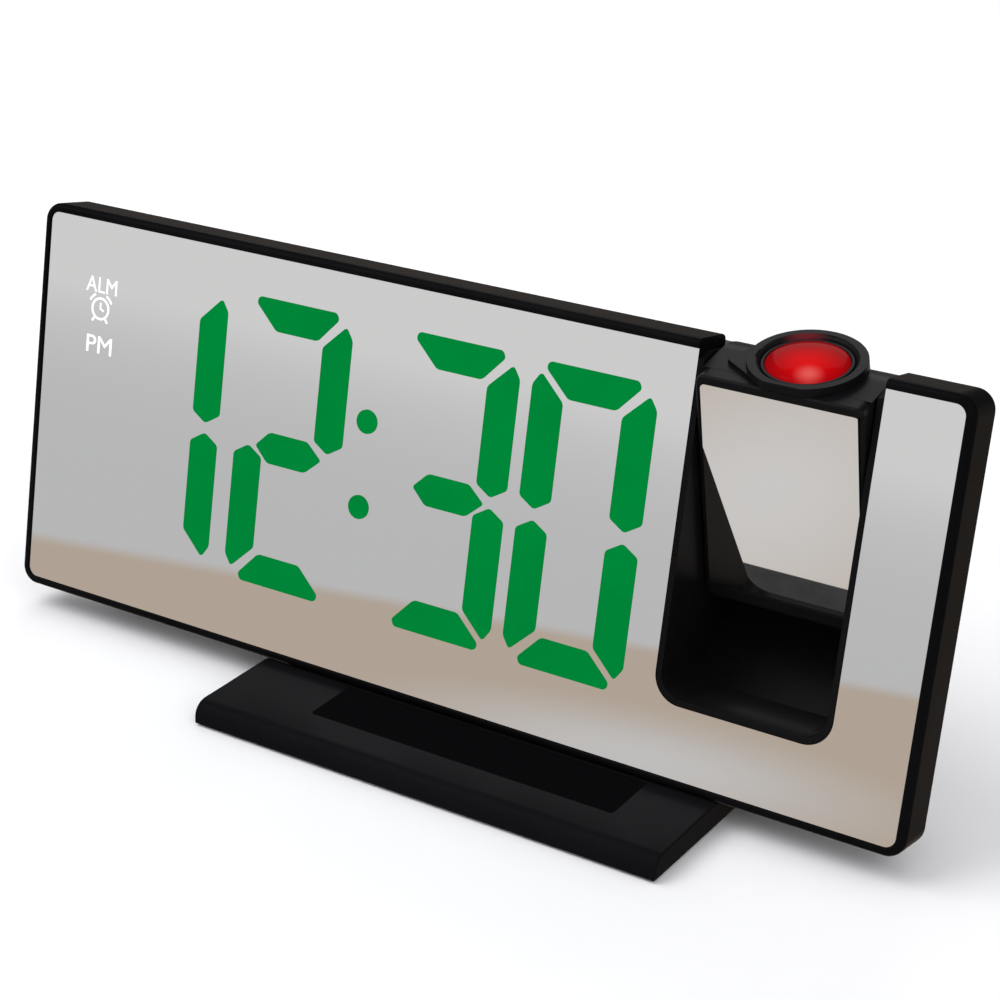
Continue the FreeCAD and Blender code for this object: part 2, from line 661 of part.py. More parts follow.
def segment_outlines(left):
    """The seven segments of one digit, each a closed list of corners."""
    right = left + DIGIT_WIDTH
    low = S.digit_bottom
    high = low + S.digit_height
    middle = (low + high) / 2
    bar_middle = middle - S.bar_drop
    wide, tall, gap = S.segment_wide, S.segment_tall, S.segment_gap
    near, far = gap + 1.15, gap + 2.0
    return {
        "a": level(left + near, right - far, left + wide + gap * 0.8, right - wide - gap, high, high - tall),
        "d": level(right - near, left + far, right - wide - gap * 0.8, left + wide + gap, low, low + tall),
        "b": upright(right - wide, right, high, middle, 1),
        "f": upright(left + wide, left, high, middle, 1),
        "c": upright(right - wide, right, low, middle, -1),
        "e": upright(left + wide, left, low, middle, -1),
        "g": ((left + wide / 2 + gap * 1.3, bar_middle), (left + wide + gap * 1.2, bar_middle + tall / 2),
              (right - wide - gap * 1.2, bar_middle + tall / 2), (right - wide / 2 - gap, bar_middle),
              (right - wide - gap * 1.2, bar_middle - tall / 2),
              (left + wide + gap * 1.2, bar_middle - tall / 2)),
    }


def level(sharp, blunt, sharp_foot, blunt_foot, outer, inner):
    """The top or bottom segment: one end runs to a sharper tip than the other."""
    tip = (outer * 0.78) + (inner * 0.22)
    return ((sharp * 0.92 + sharp_foot * 0.08, outer), (blunt * 0.85 + blunt_foot * 0.15, outer),
            (blunt, tip), (blunt_foot, inner), (sharp_foot, inner), (sharp, tip))


def upright(inner, outer, end, middle, way):
    """An upright segment between the digit's end and its middle; way is 1 above and -1 below."""
    gap = S.upright_gap
    shoulder = middle + way * (gap + 1.9)
    near_end = end - way * 2.2
    return ((inner, end - way * (S.segment_tall + 0.9)), (outer * 0.76 + inner * 0.24, near_end),
            (outer, near_end - way * 2.2), (outer, shoulder),
            ((inner + outer) / 2, middle + way * gap), (inner, shoulder))


def bar(name, corners, front, back):
    body = new_body(name)
    pad_back(body, f"{name}_pad", lambda s: draw_polygon(s, corners), front, back)
    return body


def dot_spots():
    lefts = digit_lefts()
    x = (lefts[1] + DIGIT_WIDTH + lefts[2]) / 2 - S.colon_shift
    middle = S.digit_bottom + S.digit_height / 2
    return ((x, middle + 8.8), (x, middle - 7.0))


def lit_figures():
    """The light of the lit segments, as thin pieces on the mirror."""
    pieces = []
    zero = S.light_thick * 0
    for place, (left, lit) in enumerate(zip(digit_lefts(), DIGITS)):
        outlines = segment_outlines(left)
        for letter in lit:
            pieces.append(bar(f"lit_{place}_{letter}", outlines[letter], -S.light_thick, zero))
    for i, spot in enumerate(dot_spots()):
        pieces.append(cylinder(f"lit_dot_{i}", S.dot_radius, -S.light_thick, zero, spot))
    finish("lit_digits", group("lit", pieces), FACE_PLACE)


def display_stack():
    """The reflector with a well for every segment, the diffusers in the wells, the board and its LEDs."""
    lefts = digit_lefts()
    x = (lefts[0] - 12, lefts[3] + DIGIT_WIDTH + 1.5)
    z = (S.digit_bottom - 5, S.digit_bottom + S.digit_height + 5)
    front, back = S.mirror_thick, BOARD_FRONT
    wells, bars, chips = [], [], []
    for place, left in enumerate(lefts):
        for letter, corners in segment_outlines(left).items():
            wells.append(bar(f"well_{place}_{letter}", corners, front - 1, back + 1))
            bars.append(bar(f"diffuser_{place}_{letter}", corners, front, back - 1.4))
            middle_x = sum((corner[0] for corner in corners[1:]), corners[0][0]) / len(corners)
            middle_z = sum((corner[1] for corner in corners[1:]), corners[0][1]) / len(corners)
            chips.append(box(f"chip_{place}_{letter}", (middle_x - 1.0, middle_x + 1.0), (back - 0.7, back),
                             (middle_z - 0.6, middle_z + 0.6)))
    for i, spot in enumerate(dot_spots()):
        wells.append(cylinder(f"dot_well_{i}", S.dot_radius, front - 1, back + 1, spot))
        bars.append(cylinder(f"dot_diffuser_{i}", S.dot_radius, front, back - 1.4, spot))
    plate = box("reflector_plate", x, (front, back), z)
    finish("digit_reflector", cut("reflector", plate, wells), FACE_PLACE)
    finish("segment_diffusers", group("diffusers", bars), FACE_PLACE)
    finish("segment_leds", group("leds", chips), FACE_PLACE)
    finish("display_board", box("display_board_plate", x, (back, back + S.board_thick), z), FACE_PLACE)


# The electronics and the sockets

def boards():
    front = BOARD_FRONT + S.board_thick + S.board_space
    back = front + S.board_thick
    x = (DOOR_LEFT - S.main_board_gap - S.main_board_width, DOOR_LEFT - S.main_board_gap)
    z = (S.digit_bottom, S.digit_bottom + S.main_board_height)
    inset = S.post_radius * 2
    posts = [cylinder(f"post_{i}_{j}", S.post_radius, BOARD_FRONT + S.board_thick, front, (px, pz))
             for i, px in enumerate((x[0] + inset, x[1] - inset))
             for j, pz in enumerate((z[0] + inset, z[1] - inset))]
    finish("main_board", box("main_plate", x, (front, back), z), FACE_PLACE)
    finish("board_posts", group("posts", posts), FACE_PLACE)
    parts = [
        box("processor", (x[0] + 14, x[0] + 24), (back, back + 1.6), (z[0] + 14, z[0] + 24)),
        box("driver", (x[1] - 12, x[1] - 6), (back, back + 1.6), (z[0] + 12, z[0] + 22)),
        cylinder("reservoir", 3.0, back, back + 6.5, (x[1] - 6, z[1] - 6)),
        box("crystal", (x[0] + 4, x[0] + 12), (back, back + 3.0), (z[1] - 8, z[1] - 5)),
    ]
    finish("board_parts", group("parts", parts), FACE_PLACE)


def speaker():
    front = COVER_INSIDE - S.speaker_thick
    spot = (SPEAKER_X, S.speaker_z)
    can = cylinder("speaker_can", S.speaker_radius, front + 1.5, COVER_INSIDE, spot)
    magnet = cylinder("speaker_magnet", S.speaker_radius * 0.6, front, front + 1.5, spot)
    dish = cone_y("speaker_dish", S.speaker_radius * 0.35, S.speaker_radius * 0.85, COVER_INSIDE - 2.0,
                  COVER_INSIDE, spot)
    finish("speaker", cut("speaker_cut", fuse("speaker_whole", [can, magnet]), [dish]), FACE_PLACE)


def cone_y(name, front_radius, back_radius, front, back, spot):
    piece = doc.addObject("Part::Cone", name)
    bind(piece, "Radius1", front_radius)
    bind(piece, "Radius2", back_radius)
    bind(piece, "Height", back - front)
    piece.Placement = Placement(Vector(), TURN["y"])
    bind(piece, "Placement.Base.x", spot[0])
    bind(piece, "Placement.Base.y", front)
    bind(piece, "Placement.Base.z", spot[1])
    return piece


def sockets():
    """The power inlet and the charging socket, each flush with the cover's back."""
    back = S.body_depth - 0.4
    shell = cylinder("inlet_shell", S.boss_radius + 0.4, back - 11, back, (JACK_X, JACK_Z))
    bore = cylinder("inlet_bore", 2.75, back - 9.5, back + 1, (JACK_X, JACK_Z))
    pin = cylinder("inlet_pin", 0.65, back - 10, back - 1, (JACK_X, JACK_Z))
    finish("power_inlet", fuse("inlet", [cut("inlet_cut", shell, [bore]), pin]), FACE_PLACE)
    x, z = USB_X, JACK_Z
    outer = box("usb_shell", (x - 3.4, x + 3.4), (back - 13, back), (z - 6.4, z + 6.4))
    inner = box("usb_mouth", (x - 2.7, x + 2.7), (back - 11.5, back + 1), (z - 5.8, z + 5.8))
    tongue = box("usb_tongue", (x - 2.2, x - 0.2), (back - 12, back - 2), (z - 4.6, z + 4.6))
    finish("usb_socket", fuse("usb", [cut("usb_cut", outer, [inner]), tongue]), FACE_PLACE)


def battery():
    finish("coin_cell", cylinder("cell", S.cell_radius, CELL_FRONT + 0.4, CELL_BACK, (CELL_X, CELL_Z)),
           FACE_PLACE)
    clip = box("clip_plate", (CELL_X - 3, CELL_X + 3), (CELL_FRONT, CELL_FRONT + 0.4),
               (CELL_Z - 7, CELL_Z + 7))
    finish("cell_clip", clip, FACE_PLACE)
    panel = box("door_panel", DOOR_X, (S.body_depth - S.door_thick, S.body_depth), DOOR_Z)
    corners = round_edges("door_round", panel, 1.5, both(along("y"), on_top(DOOR_Z[1])))
    inner_end = both(on_plane("y", S.body_depth - S.door_thick), on_top(DOOR_Z[0]))
    soft = round_edges("door_hinge_end", corners, S.door_thick - 0.05, inner_end)
    notch = cylinder("door_nail", 5.0, DOOR_X[0] - 1, DOOR_X[1] + 1,
                     (S.body_depth + 4.4, DOOR_Z[1] - 3.5), "x")
    keep = box("door_nail_span", (CELL_X - 5, CELL_X + 5), (S.body_depth - 2, S.body_depth + 2),
               (DOOR_Z[1] - 8, DOOR_Z[1] + 1))
    finish("battery_door", cut("door", soft, [common("door_nail_cut", notch, keep)]), FACE_PLACE)


def on_top(value):
    target = number_of(value)
    return lambda edge: all(abs(corner.Point.z - target) < 1e-4 for corner in edge.Vertexes)


# The keys

def keys():
    stop, board_back = KEY_STOP, KEY_BOARD_BACK
    switches = []
    for i, (label, (x, z)) in enumerate(zip(KEYS, key_spots())):
        half_x, half_z = S.key_width / 2, S.key_height / 2
        cap = box(f"cap_{i}", (x - half_x, x + half_x), (stop, S.body_depth + S.key_proud),
                  (z - half_z, z + half_z))
        soft = round_edges(f"cap_round_{i}", cap, 0.8, on_plane("y", S.body_depth + S.key_proud))
        flange = box(f"cap_flange_{i}", (x - half_x - 1, x + half_x + 1), (stop - 1.0, stop),
                     (z - half_z - 1, z + half_z + 1))
        finish(label, fuse(f"key_{i}", [soft, flange]), FACE_PLACE)
        body = box(f"switch_{i}", (x - 3, x + 3), (board_back, board_back + 1.6), (z - 3, z + 3))
        plunger = cylinder(f"plunger_{i}", 1.6, board_back + 1.6, board_back + 2.1, (x, z))
        switches.append(fuse(f"switch_whole_{i}", [body, plunger]))
    first, last = key_spots()[0][0], key_spots()[-1][0]
    finish("key_switches", group("switches", switches), FACE_PLACE)
    finish("key_board", box("key_plate", (first - 7, last + 7), (board_back - S.board_thick, board_back),
                            (S.key_row - 6, S.key_row + 6)), FACE_PLACE)
    top = BULGE_Z[1]
    stem = box("snooze_cap", SNOOZE_X, SNOOZE_Y, (top - S.cover_wall - 0.1, top + S.snooze_proud))
    soft = round_edges("snooze_round", stem, 0.8, on_top(top + S.snooze_proud))
    flange = box("snooze_flange", (SNOOZE_X[0] - 1.2, SNOOZE_X[1] + 1.2), (SNOOZE_Y[0] - 1, SNOOZE_Y[1] + 1),
                 (top - S.cover_wall - 1.3, top - S.cover_wall - 0.1))
    finish("snooze_bar", fuse("snooze", [soft, flange]), FACE_PLACE)


# The projector head, drawn about its pivot

def head_bezel():
    body = new_body("bezel_body")
    z = (-HEAD_BOTTOM, S.head_top)
    front = -S.head_front
    pad_back(body, "bezel_pad", lambda s: draw_rounded(s, HEAD_X, z, S.head_round), front,
             front + S.bezel_depth)
    dress(body, "bezel_edges", 0.6, on_plane("y", front))
    seat_x = (MIRROR_X[0] - S.seat_gap / 2, MIRROR_X[1] + S.seat_gap / 2)
    seat_z = (MIRROR_Z[0] - S.seat_gap / 2, MIRROR_Z[1] + S.seat_gap / 2)
    pocket_back(body, "bezel_seat", lambda s: draw_rounded(s, seat_x, seat_z, S.mirror_thick / 2),
                front - 1, front + S.mirror_setback + S.head_mirror_thick)
    open_x = (seat_x[0] + 2, seat_x[1] - 2)
    open_z = (seat_z[0] + 2, seat_z[1] - 2)
    pocket_back(body, "bezel_opening", lambda s: draw_rounded(s, open_x, open_z, S.mirror_thick / 2),
                front, front + S.bezel_depth + 1)
    room = cylinder("bezel_lens_room", S.collar_bore, S.head_top * 0, S.head_top + 1,
                    (LENS_X, S.head_top * 0), "z")
    finish("head_bezel", cut("bezel", body, [room]), HEAD_PLACE)


SHELL_FRONT = S.bezel_depth - S.head_front


def head_mirror():
    body = new_body("head_mirror_body")
    front = S.mirror_setback - S.head_front
    pad_back(body, "head_mirror_pad", lambda s: draw_rounded(s, MIRROR_X, MIRROR_Z, S.mirror_thick / 2),
             front, front + S.head_mirror_thick)
    finish("head_mirror", body, HEAD_PLACE)


def head_block(name, x, grow, front, bottom):
    """The head's side view: flat top, a half-round back about the pivot and a straight back below."""
    top = S.head_top - grow
    back = S.head_back - grow
    block = box(f"{name}_block", x, (front, back), (bottom, top * 0))
    crown = cylinder(f"{name}_crown", top, x[0], x[1], (top * 0, top * 0), "x")
    fore = box(f"{name}_fore", x, (front, top * 0), (top * 0, top))
    trim = box(f"{name}_trim", (x[0] - 1, x[1] + 1), (front, back), (bottom, top + 1))
    return fuse(name, [block, common(f"{name}_crown_cut", crown, trim), fore])


def fairing_outline():
    """A blunt tip and the two points where lines from it touch the collar."""
    reach, front, rim = (number_of(size) for size in (S.fairing_reach, S.fairing_front, S.collar_rim))
    away = math.hypot(reach, front)
    heading = math.atan2(-front, -reach)
    turn = math.acos(rim / away)
    touch = [(math.cos(heading + way * turn), math.sin(heading + way * turn)) for way in (1, -1)]
    blunt = 0.07
    corners = [(LENS_X + S.collar_rim * x, S.collar_rim * y) for x, y in touch]
    tip = (LENS_X - S.fairing_reach, -S.fairing_front)
    near = [(tip[0] * (1 - blunt) + x * blunt, tip[1] * (1 - blunt) + y * blunt) for x, y in corners]
    return (near[1], near[0], corners[0], corners[1])


def head_shell():
    outer = head_block("head_outer", HEAD_X, S.head_wall * 0, SHELL_FRONT, -HEAD_BOTTOM)
    inner_x = (HEAD_X[0] + S.head_wall, HEAD_X[1] - S.head_wall)
    inner = head_block("head_inner", inner_x, S.head_wall, SHELL_FRONT - 1, S.head_wall - HEAD_BOTTOM)
    shoulder = COLLAR_TOP - S.collar_funnel
    zero = S.head_top * 0
    collar = cone("collar_cone", S.collar_foot, S.collar_rim, S.head_top - S.collar_drop, COLLAR_TOP,
                  LENS_X, zero)
    funnel = cone("collar_funnel_cut", S.collar_bore, S.collar_rim - S.collar_crest, shoulder, COLLAR_TOP,
                  LENS_X, zero)
    fairing = new_body("fairing")
    sketch = new_sketch(fairing, "fairing_sketch", "XY_Plane", S.head_top - 0.5)
    draw_polygon(sketch, fairing_outline())
    wedge = fairing.newObject("PartDesign::Pad", "fairing_pad")
    wedge.Profile = sketch
    bind(wedge, "Length", S.collar_height + 0.5 - S.collar_funnel)
    guard = box("collar_guard", (HEAD_X[0], HEAD_X[1]), (-S.head_front, S.head_front * 2),
                (-HEAD_BOTTOM, COLLAR_TOP + 1))
    raised = common("collar_trimmed", fuse("collar_whole", [collar, fairing]), guard)
    bore = cylinder("collar_bore_cut", S.collar_bore, S.head_top * 0, COLLAR_TOP + 1,
                    (LENS_X, S.head_top * 0), "z")
    pins = cylinder("head_pin_holes", S.pin_radius + S.run_gap, HEAD_X[0] - 1, HEAD_X[1] + 1,
                    (S.head_top * 0, S.head_top * 0), "x")
    front_cut = box("collar_front_cut", (HEAD_X[0] - 1, HEAD_X[1] + 1), (-S.head_front - 1, SHELL_FRONT),
                    (-HEAD_BOTTOM, S.head_top))
    whole = fuse("head_whole", [outer, raised])
    finish("head_shell", cut("head", whole, [inner, bore, funnel, pins, front_cut]), HEAD_PLACE)


def pivot_pins():
    zero = S.head_top * 0
    spot = (zero, zero)
    inner_left = HEAD_X[0] + S.pin_reach
    inner_right = HEAD_X[1] - S.pin_reach
    left = cylinder("left_pin", S.pin_radius, LINER_X[0] - S.pin_boss, inner_left, spot, "x")
    right = cylinder("right_pin", S.pin_radius, inner_right, LINER_X[1] + S.pin_boss, spot, "x")
    passage = cylinder("right_pin_bore", S.pin_radius * 0.6, inner_right - 1, LINER_X[1] + 5, spot, "x")
    left_end, right_end = LINER_X[0] - S.pin_boss, LINER_X[1] + S.pin_boss
    left_head = cylinder("left_pin_head", S.pin_radius + 1.5, left_end - S.pin_head, left_end, spot, "x")
    right_head = cylinder("right_pin_head", S.pin_radius + 1.5, right_end, right_end + S.pin_head, spot, "x")
    finish("left_pivot_pin", fuse("left_pivot", [left, left_head]), HEAD_PLACE)
    finish("right_pivot_pin", cut("right_pivot", fuse("right_pivot_solid", [right, right_head]), [passage]),
           HEAD_PLACE)
    for label, start, end in (("left_pivot_boss", left_end, LINER_X[0]),
                              ("right_pivot_boss", LINER_X[1], right_end)):
        ring = cylinder(f"{label}_ring", S.pin_radius + 2.5, start, end, spot, "x")
        hole = cylinder(f"{label}_hole", S.pin_radius + S.run_gap, start - 1, end + 1, spot, "x")
        finish(label, cut(f"{label}_cut", ring, [hole]), HEAD_PLACE)


def projector_parts():
    zero = S.head_top * 0
    axis = (LENS_X, zero)
    top = COLLAR_TOP - S.lens_sink
    bottom = top - S.barrel_length
    barrel_radius = S.collar_bore - S.run_gap
    tube = cylinder("barrel_tube", barrel_radius, bottom, top, axis, "z")
    bore = cylinder("barrel_bore", barrel_radius - S.barrel_wall, bottom - 1, top + 1, axis, "z")
    seat = cylinder("barrel_seat", S.lens_radius + S.run_gap, top - 1.6, top + 1, axis, "z")
    finish("lens_barrel", cut("barrel", tube, [bore, seat]), HEAD_PLACE)
    red = new_body("red_lens_body")
    steps = 8
    dome = []
    for i in range(steps + 1):
        share = i / steps
        dome.append((S.lens_radius * (1 - share), S.lens_crown * (1 - (1 - share) ** 2) + 1.6))
    turned(red, "red_lens_turn", [(zero, zero), (S.lens_radius + zero, zero)] + dome)
    place = HEAD_PLACE.multiply(Placement(Vector(LENS_X.number, 0, (top - 1.6).number), Rotation()))
    finish("red_lens", red, place)
    inside = barrel_radius - S.barrel_wall - S.run_gap
    objective = cylinder("objective", inside, bottom + 3, bottom + 5.5, axis, "z")
    finish("objective_lens", objective, HEAD_PLACE)
    half = S.core_width / 2
    core_top = bottom - 0.6
    core_bottom = S.head_wall - HEAD_BOTTOM + S.core_rise
    core = box("core_block", (LENS_X - half, LENS_X + half), (-half + 2.6, half - 0.6),
               (core_bottom, core_top))
    core_hole = cylinder("core_hole", half - 2.8, core_bottom - 1, core_top + 1, (LENS_X, zero + 1), "z")
    film_slot = box("film_slot", (LENS_X - half + 1, LENS_X + half - 1), (-half + 3.6, half - 1.6),
                    (core_top - 5.4, core_top - 4))
    lens_slot = cylinder("condenser_slot", half - 2.2, core_top - 13, core_top - 9, (LENS_X, zero + 1), "z")
    finish("projector_core", cut("core", core, [core_hole, film_slot, lens_slot]), HEAD_PLACE)
    film = box("film", (LENS_X - half + 1.1, LENS_X + half - 1.1), (-half + 3.7, half - 1.7),
               (core_top - 5.3, core_top - 4.1))
    finish("picture_film", film, HEAD_PLACE)
    finish("condenser_lens", cylinder("condenser", half - 2.3, core_top - 12.9, core_top - 9.1,
                                      (LENS_X, zero + 1), "z"), HEAD_PLACE)
    lamp = [box("lamp_plate", (LENS_X - half, LENS_X + half), (-half + 2.6, half - 0.6),
                (core_bottom - 1.2, core_bottom)),
            cylinder("lamp_chip", 1.6, core_bottom, core_bottom + 1.5, (LENS_X, zero + 1), "z")]
    finish("lamp_board", fuse("lamp", lamp), HEAD_PLACE)


# The base, which stands level on the table

def base_profile(sketch):
    skirt = S.foot_gap
    draw_polygon(sketch, (
        (-S.base_front, skirt), (S.base_back, skirt), (S.base_back, S.base_height),
        (S.base_height * 0, S.base_height), (-S.base_front, S.base_front_height)))


def saddle_block():
    """The saddle meets the underside of the rear bulge."""
    body = new_body("saddle_body")
    lean = math.radians(S.lean.number)
    rise = S.face_lift + BULGE_Z[0] * math.cos(lean)
    back = BULGE_Z[0] * math.sin(lean)

    def line(depth):
        return (back + depth * math.cos(lean), rise - depth * math.sin(lean))
    near, far = line(FLANGE_BACK + 0.4), line(S.body_depth - S.cover_round)
    pad_across(body, "saddle_pad", lambda s: draw_polygon(s, (
        (near[0], S.foot_gap + 0), near, far, (far[0], S.foot_gap + 0))), S.saddle_left,
        S.saddle_left + S.saddle_width)
    return body, near, far


def base_parts():
    body = new_body("base_body")
    x = (S.base_left, S.base_left + S.base_width)
    pad_across(body, "base_pad", base_profile, x[0], x[1])
    dress(body, "base_nose", S.base_round,
          both(on_plane("y", -S.base_front), on_plane("z", S.base_front_height)))
    saddle, near, far = saddle_block()
    whole = fuse("base_whole", [body, saddle])
    groove = group("base_groove", [box(
        "base_groove_box", FRAME_X, (-S.rim_proud - 0.2, S.frame_depth + 0.3),
        (FRAME_Z[0] - 0.1, FRAME_Z[0] + 12))])
    groove.Placement = FACE_PLACE
    cover_top = S.foot_gap + S.base_cover_thick
    under_x = (x[0] + S.base_wall, x[1] - S.base_wall)
    under_y = (-S.base_front + S.base_wall, S.base_back - S.base_wall)
    recess = box("base_recess", under_x, under_y, (S.foot_gap - 1, cover_top))
    ballast_x = (S.saddle_left + 4, S.saddle_left + S.saddle_width - 4)
    ballast_y = (near[0] + 2.2, far[0] - 2.2)
    ballast_z = (cover_top, far[1] - 2.6)
    room = box("ballast_room", (ballast_x[0] - 0.1, ballast_x[1] + 0.1),
               (ballast_y[0] - 0.1, ballast_y[1] + 0.1), (cover_top - 1, ballast_z[1] + 0.1))
    finish("base_shell", cut("base", whole, [groove, recess, room]), WORLD_PLACE)
    finish("ballast", box("ballast_block", ballast_x, ballast_y, ballast_z), WORLD_PLACE)
    pad_gap = S.seat_gap / 2
    plate = box("base_cover_plate", (under_x[0] + pad_gap, under_x[1] - pad_gap),
                (under_y[0] + pad_gap, under_y[1] - pad_gap), (S.foot_gap, cover_top))
    pad_x = (under_x[0] + 3, under_x[1] - 3)
    pad_y = (under_y[0] + 3, under_y[1] - 3)
    tray = box("pad_tray", pad_x, pad_y, (S.foot_gap - 1, S.pad_thick))
    finish("base_cover", cut("base_cover_cut", plate, [tray]), WORLD_PLACE)
    finish("rest_pad", box("pad_sheet", (pad_x[0] + 0.1, pad_x[1] - 0.1), (pad_y[0] + 0.1, pad_y[1] - 0.1),
                           (S.pad_thick * 0, S.pad_thick)), WORLD_PLACE)


mirror_panel()
front_frame()
rear_cover()
pocket_liner()
housing_screws()
lit_figures()
display_stack()
boards()
speaker()
sockets()
battery()
keys()
head_bezel()
head_mirror()
head_shell()
pivot_pins()
projector_parts()
base_parts()

doc.recompute()
problems = []
for item in doc.Objects:
    if "Invalid" in item.State or "Error" in item.State:
        problems.append(f"{item.Name}: {item.State}")
for piece in finished:
    if piece.Shape.isNull() or not piece.Shape.isValid() or not piece.Shape.Solids:
        problems.append(f"{piece.Label}: no valid solid")
if problems:
    raise RuntimeError("\n".join(problems))
os.makedirs("parts", exist_ok=True)
for piece in finished:
    piece.Shape.exportStep(os.path.join("parts", f"{piece.Label}.step"))
print(len(finished), "parts written")
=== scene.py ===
import json
import math
import bmesh
import bpy
from bpy.props import FloatProperty, FloatVectorProperty, PointerProperty, StringProperty
from mathutils import Matrix, Vector


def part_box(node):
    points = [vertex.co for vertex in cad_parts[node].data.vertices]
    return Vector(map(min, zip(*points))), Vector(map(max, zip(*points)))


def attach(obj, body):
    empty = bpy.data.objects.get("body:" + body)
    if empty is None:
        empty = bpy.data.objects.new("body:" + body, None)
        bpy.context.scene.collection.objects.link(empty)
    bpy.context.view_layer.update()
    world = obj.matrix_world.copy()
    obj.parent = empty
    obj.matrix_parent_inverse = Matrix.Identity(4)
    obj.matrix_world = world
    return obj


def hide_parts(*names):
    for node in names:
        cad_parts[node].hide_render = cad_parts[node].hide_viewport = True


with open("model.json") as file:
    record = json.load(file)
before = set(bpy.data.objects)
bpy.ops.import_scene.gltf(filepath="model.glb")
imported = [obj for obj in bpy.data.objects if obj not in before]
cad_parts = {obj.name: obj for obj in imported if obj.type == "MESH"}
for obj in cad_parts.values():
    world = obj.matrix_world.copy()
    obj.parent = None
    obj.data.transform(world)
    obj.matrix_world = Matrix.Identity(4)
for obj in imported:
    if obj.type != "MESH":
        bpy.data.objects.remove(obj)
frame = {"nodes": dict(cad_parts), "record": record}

bl_info = {
    "name": "Projection clock looks",
    "version": (1, 0, 0),
    "blender": (4, 5, 0),
    "location": "View3D > Sidebar > Clock",
    "description": "Dresses the packed projection alarm clock and lights it in a plain studio",
    "category": "Object",
}

MM = 0.001
LEAN = math.radians(10.0)
HEAD_LEAN = math.radians(11.7)
FACE_LIFT = 6.6
ACROSS = Vector((1, 0, 0))
UP = Vector((0, math.sin(LEAN), math.cos(LEAN)))
BACK = Vector((0, math.cos(LEAN), -math.sin(LEAN)))
HEAD_UP = Vector((0, -math.sin(HEAD_LEAN), math.cos(HEAD_LEAN)))
HEAD_BACK = Vector((0, math.cos(HEAD_LEAN), math.sin(HEAD_LEAN)))
LENS_X = 64.4
COVER_BACK = 27.0
KEY_FIRST, KEY_PITCH, KEY_ROW = -73.0, 13.0, 55.5
SCREW_X, SCREW_ROWS, SCREW_SEAT = 89.4, (4.7, 68.5), 12.0
INLET_X, INLET_WORD_ROW = 23.0, 15.0
SOCKET_X, SOCKET_ROW, SOCKET_WORD_ROW = 34.0, 21.0, 12.3
MARKS_DEPTH = -0.02
STROKE = 0.42
BASE_BACK_HEIGHT, BASE_FRONT_HEIGHT, BASE_SLOPE_LENGTH = 5.0, 4.45, 21.2
# Outline of the painted shade sheet on the base's top, in mm.
SHADE_SHEET_LEFT, SHADE_SHEET_RIGHT, SHADE_SHEET_FRONT, SHADE_SHEET_BACK, SHADE_SHEET_ROUND = -13.6, 48.8, -12.6, -0.9, 0.8
KEY_WORDS = ("SET", "ALM", "+", "-", "DIM", "PROJ")
BODY_OF = {node: body for body, nodes in frame["record"]["behaviour"]["bodies"].items() for node in nodes}
TURNED = Matrix((ACROSS, HEAD_BACK, HEAD_UP)).transposed().to_4x4()


# Values that the sidebar shows

class ClockSurface(bpy.types.PropertyGroup):
    """Colours and edges of the clock"""
    black: FloatVectorProperty(name="Black plastic", subtype="COLOR", size=3,
                               default=(0.0030, 0.0030, 0.0034),
                               description="Colour of the frame, and in paler shades of the other blacks")
    light: FloatVectorProperty(name="Figures", subtype="COLOR", size=3, default=(0.0, 0.185, 0.032),
                               description="Colour of the lit figures")
    lens: FloatVectorProperty(name="Lens", subtype="COLOR", size=3, default=(0.58, 0.0015, 0.003),
                              description="Colour of the lit lens")
    edge: FloatProperty(name="Edge rounding, mm", default=0.3, min=0.0, max=1.0,
                        description="Rounding of the moulded edges, from which each piece takes its share")


class ClockStudio(bpy.types.PropertyGroup):
    """Lights and camera of the stage"""
    key_power: FloatProperty(name="Key light, W", default=5.0, min=0.0,
                             description="Power of the main lamp, at the front left")
    fill_power: FloatProperty(name="Fill light, W", default=2.2, min=0.0,
                              description="Power of each of the two weaker lamps")
    world: FloatProperty(name="Surroundings", default=0.9, min=0.0,
                         description="Strength of the light from all round")
    camera_at: FloatVectorProperty(name="Camera, mm", size=3, default=(208.08, -303.32, 197.94),
                                   description="Place of the camera in the clock's frame")
    azimuth: FloatProperty(name="Azimuth", default=32.13,
                           description="Degrees from the front towards the right")
    elevation: FloatProperty(name="Elevation", default=22.55, description="Degrees above the table")
    roll: FloatProperty(name="Roll", default=1.195, description="Degrees of tilt about the line of sight")
    focal: FloatProperty(name="Focal length, mm", default=82.494,
                         description="Focal length on a sensor 36 mm wide")
    camera_name: StringProperty(name="Camera", default="photo_camera", description="Name of the camera")


# Places on the object

def on_face(u, v, w=0.0):
    """A point on the leaning face: u across, v up the face and w into the body, in mm."""
    return Vector((0, 0, FACE_LIFT * MM)) + (ACROSS * u + UP * v + BACK * w) * MM


PIVOT = on_face(0, 62.5, 9)


def in_head(x, back, up):
    """A point near the pivot in the resting head's own directions, in mm."""
    return PIVOT + (ACROSS * x + HEAD_BACK * back + HEAD_UP * up) * MM


def face_matrix(u, v, w, rear=False):
    """Turns drawings made flat in X and Y so that they lie on the face, or on the back."""
    side = -ACROSS if rear else ACROSS
    out = BACK if rear else -BACK
    turn = Matrix((side, UP, out)).transposed().to_4x4()
    return Matrix.Translation(on_face(u, v, w)) @ turn


# Shader groups and materials

def new_group(name, inputs, outputs):
    tree = bpy.data.node_groups.new(name, "ShaderNodeTree")
    for label, kind, value in inputs:
        socket = tree.interface.new_socket(label, in_out="INPUT", socket_type=kind)
        if value is not None:
            socket.default_value = value
    for label, kind in outputs:
        tree.interface.new_socket(label, in_out="OUTPUT", socket_type=kind)
    return tree, tree.nodes.new("NodeGroupInput"), tree.nodes.new("NodeGroupOutput")


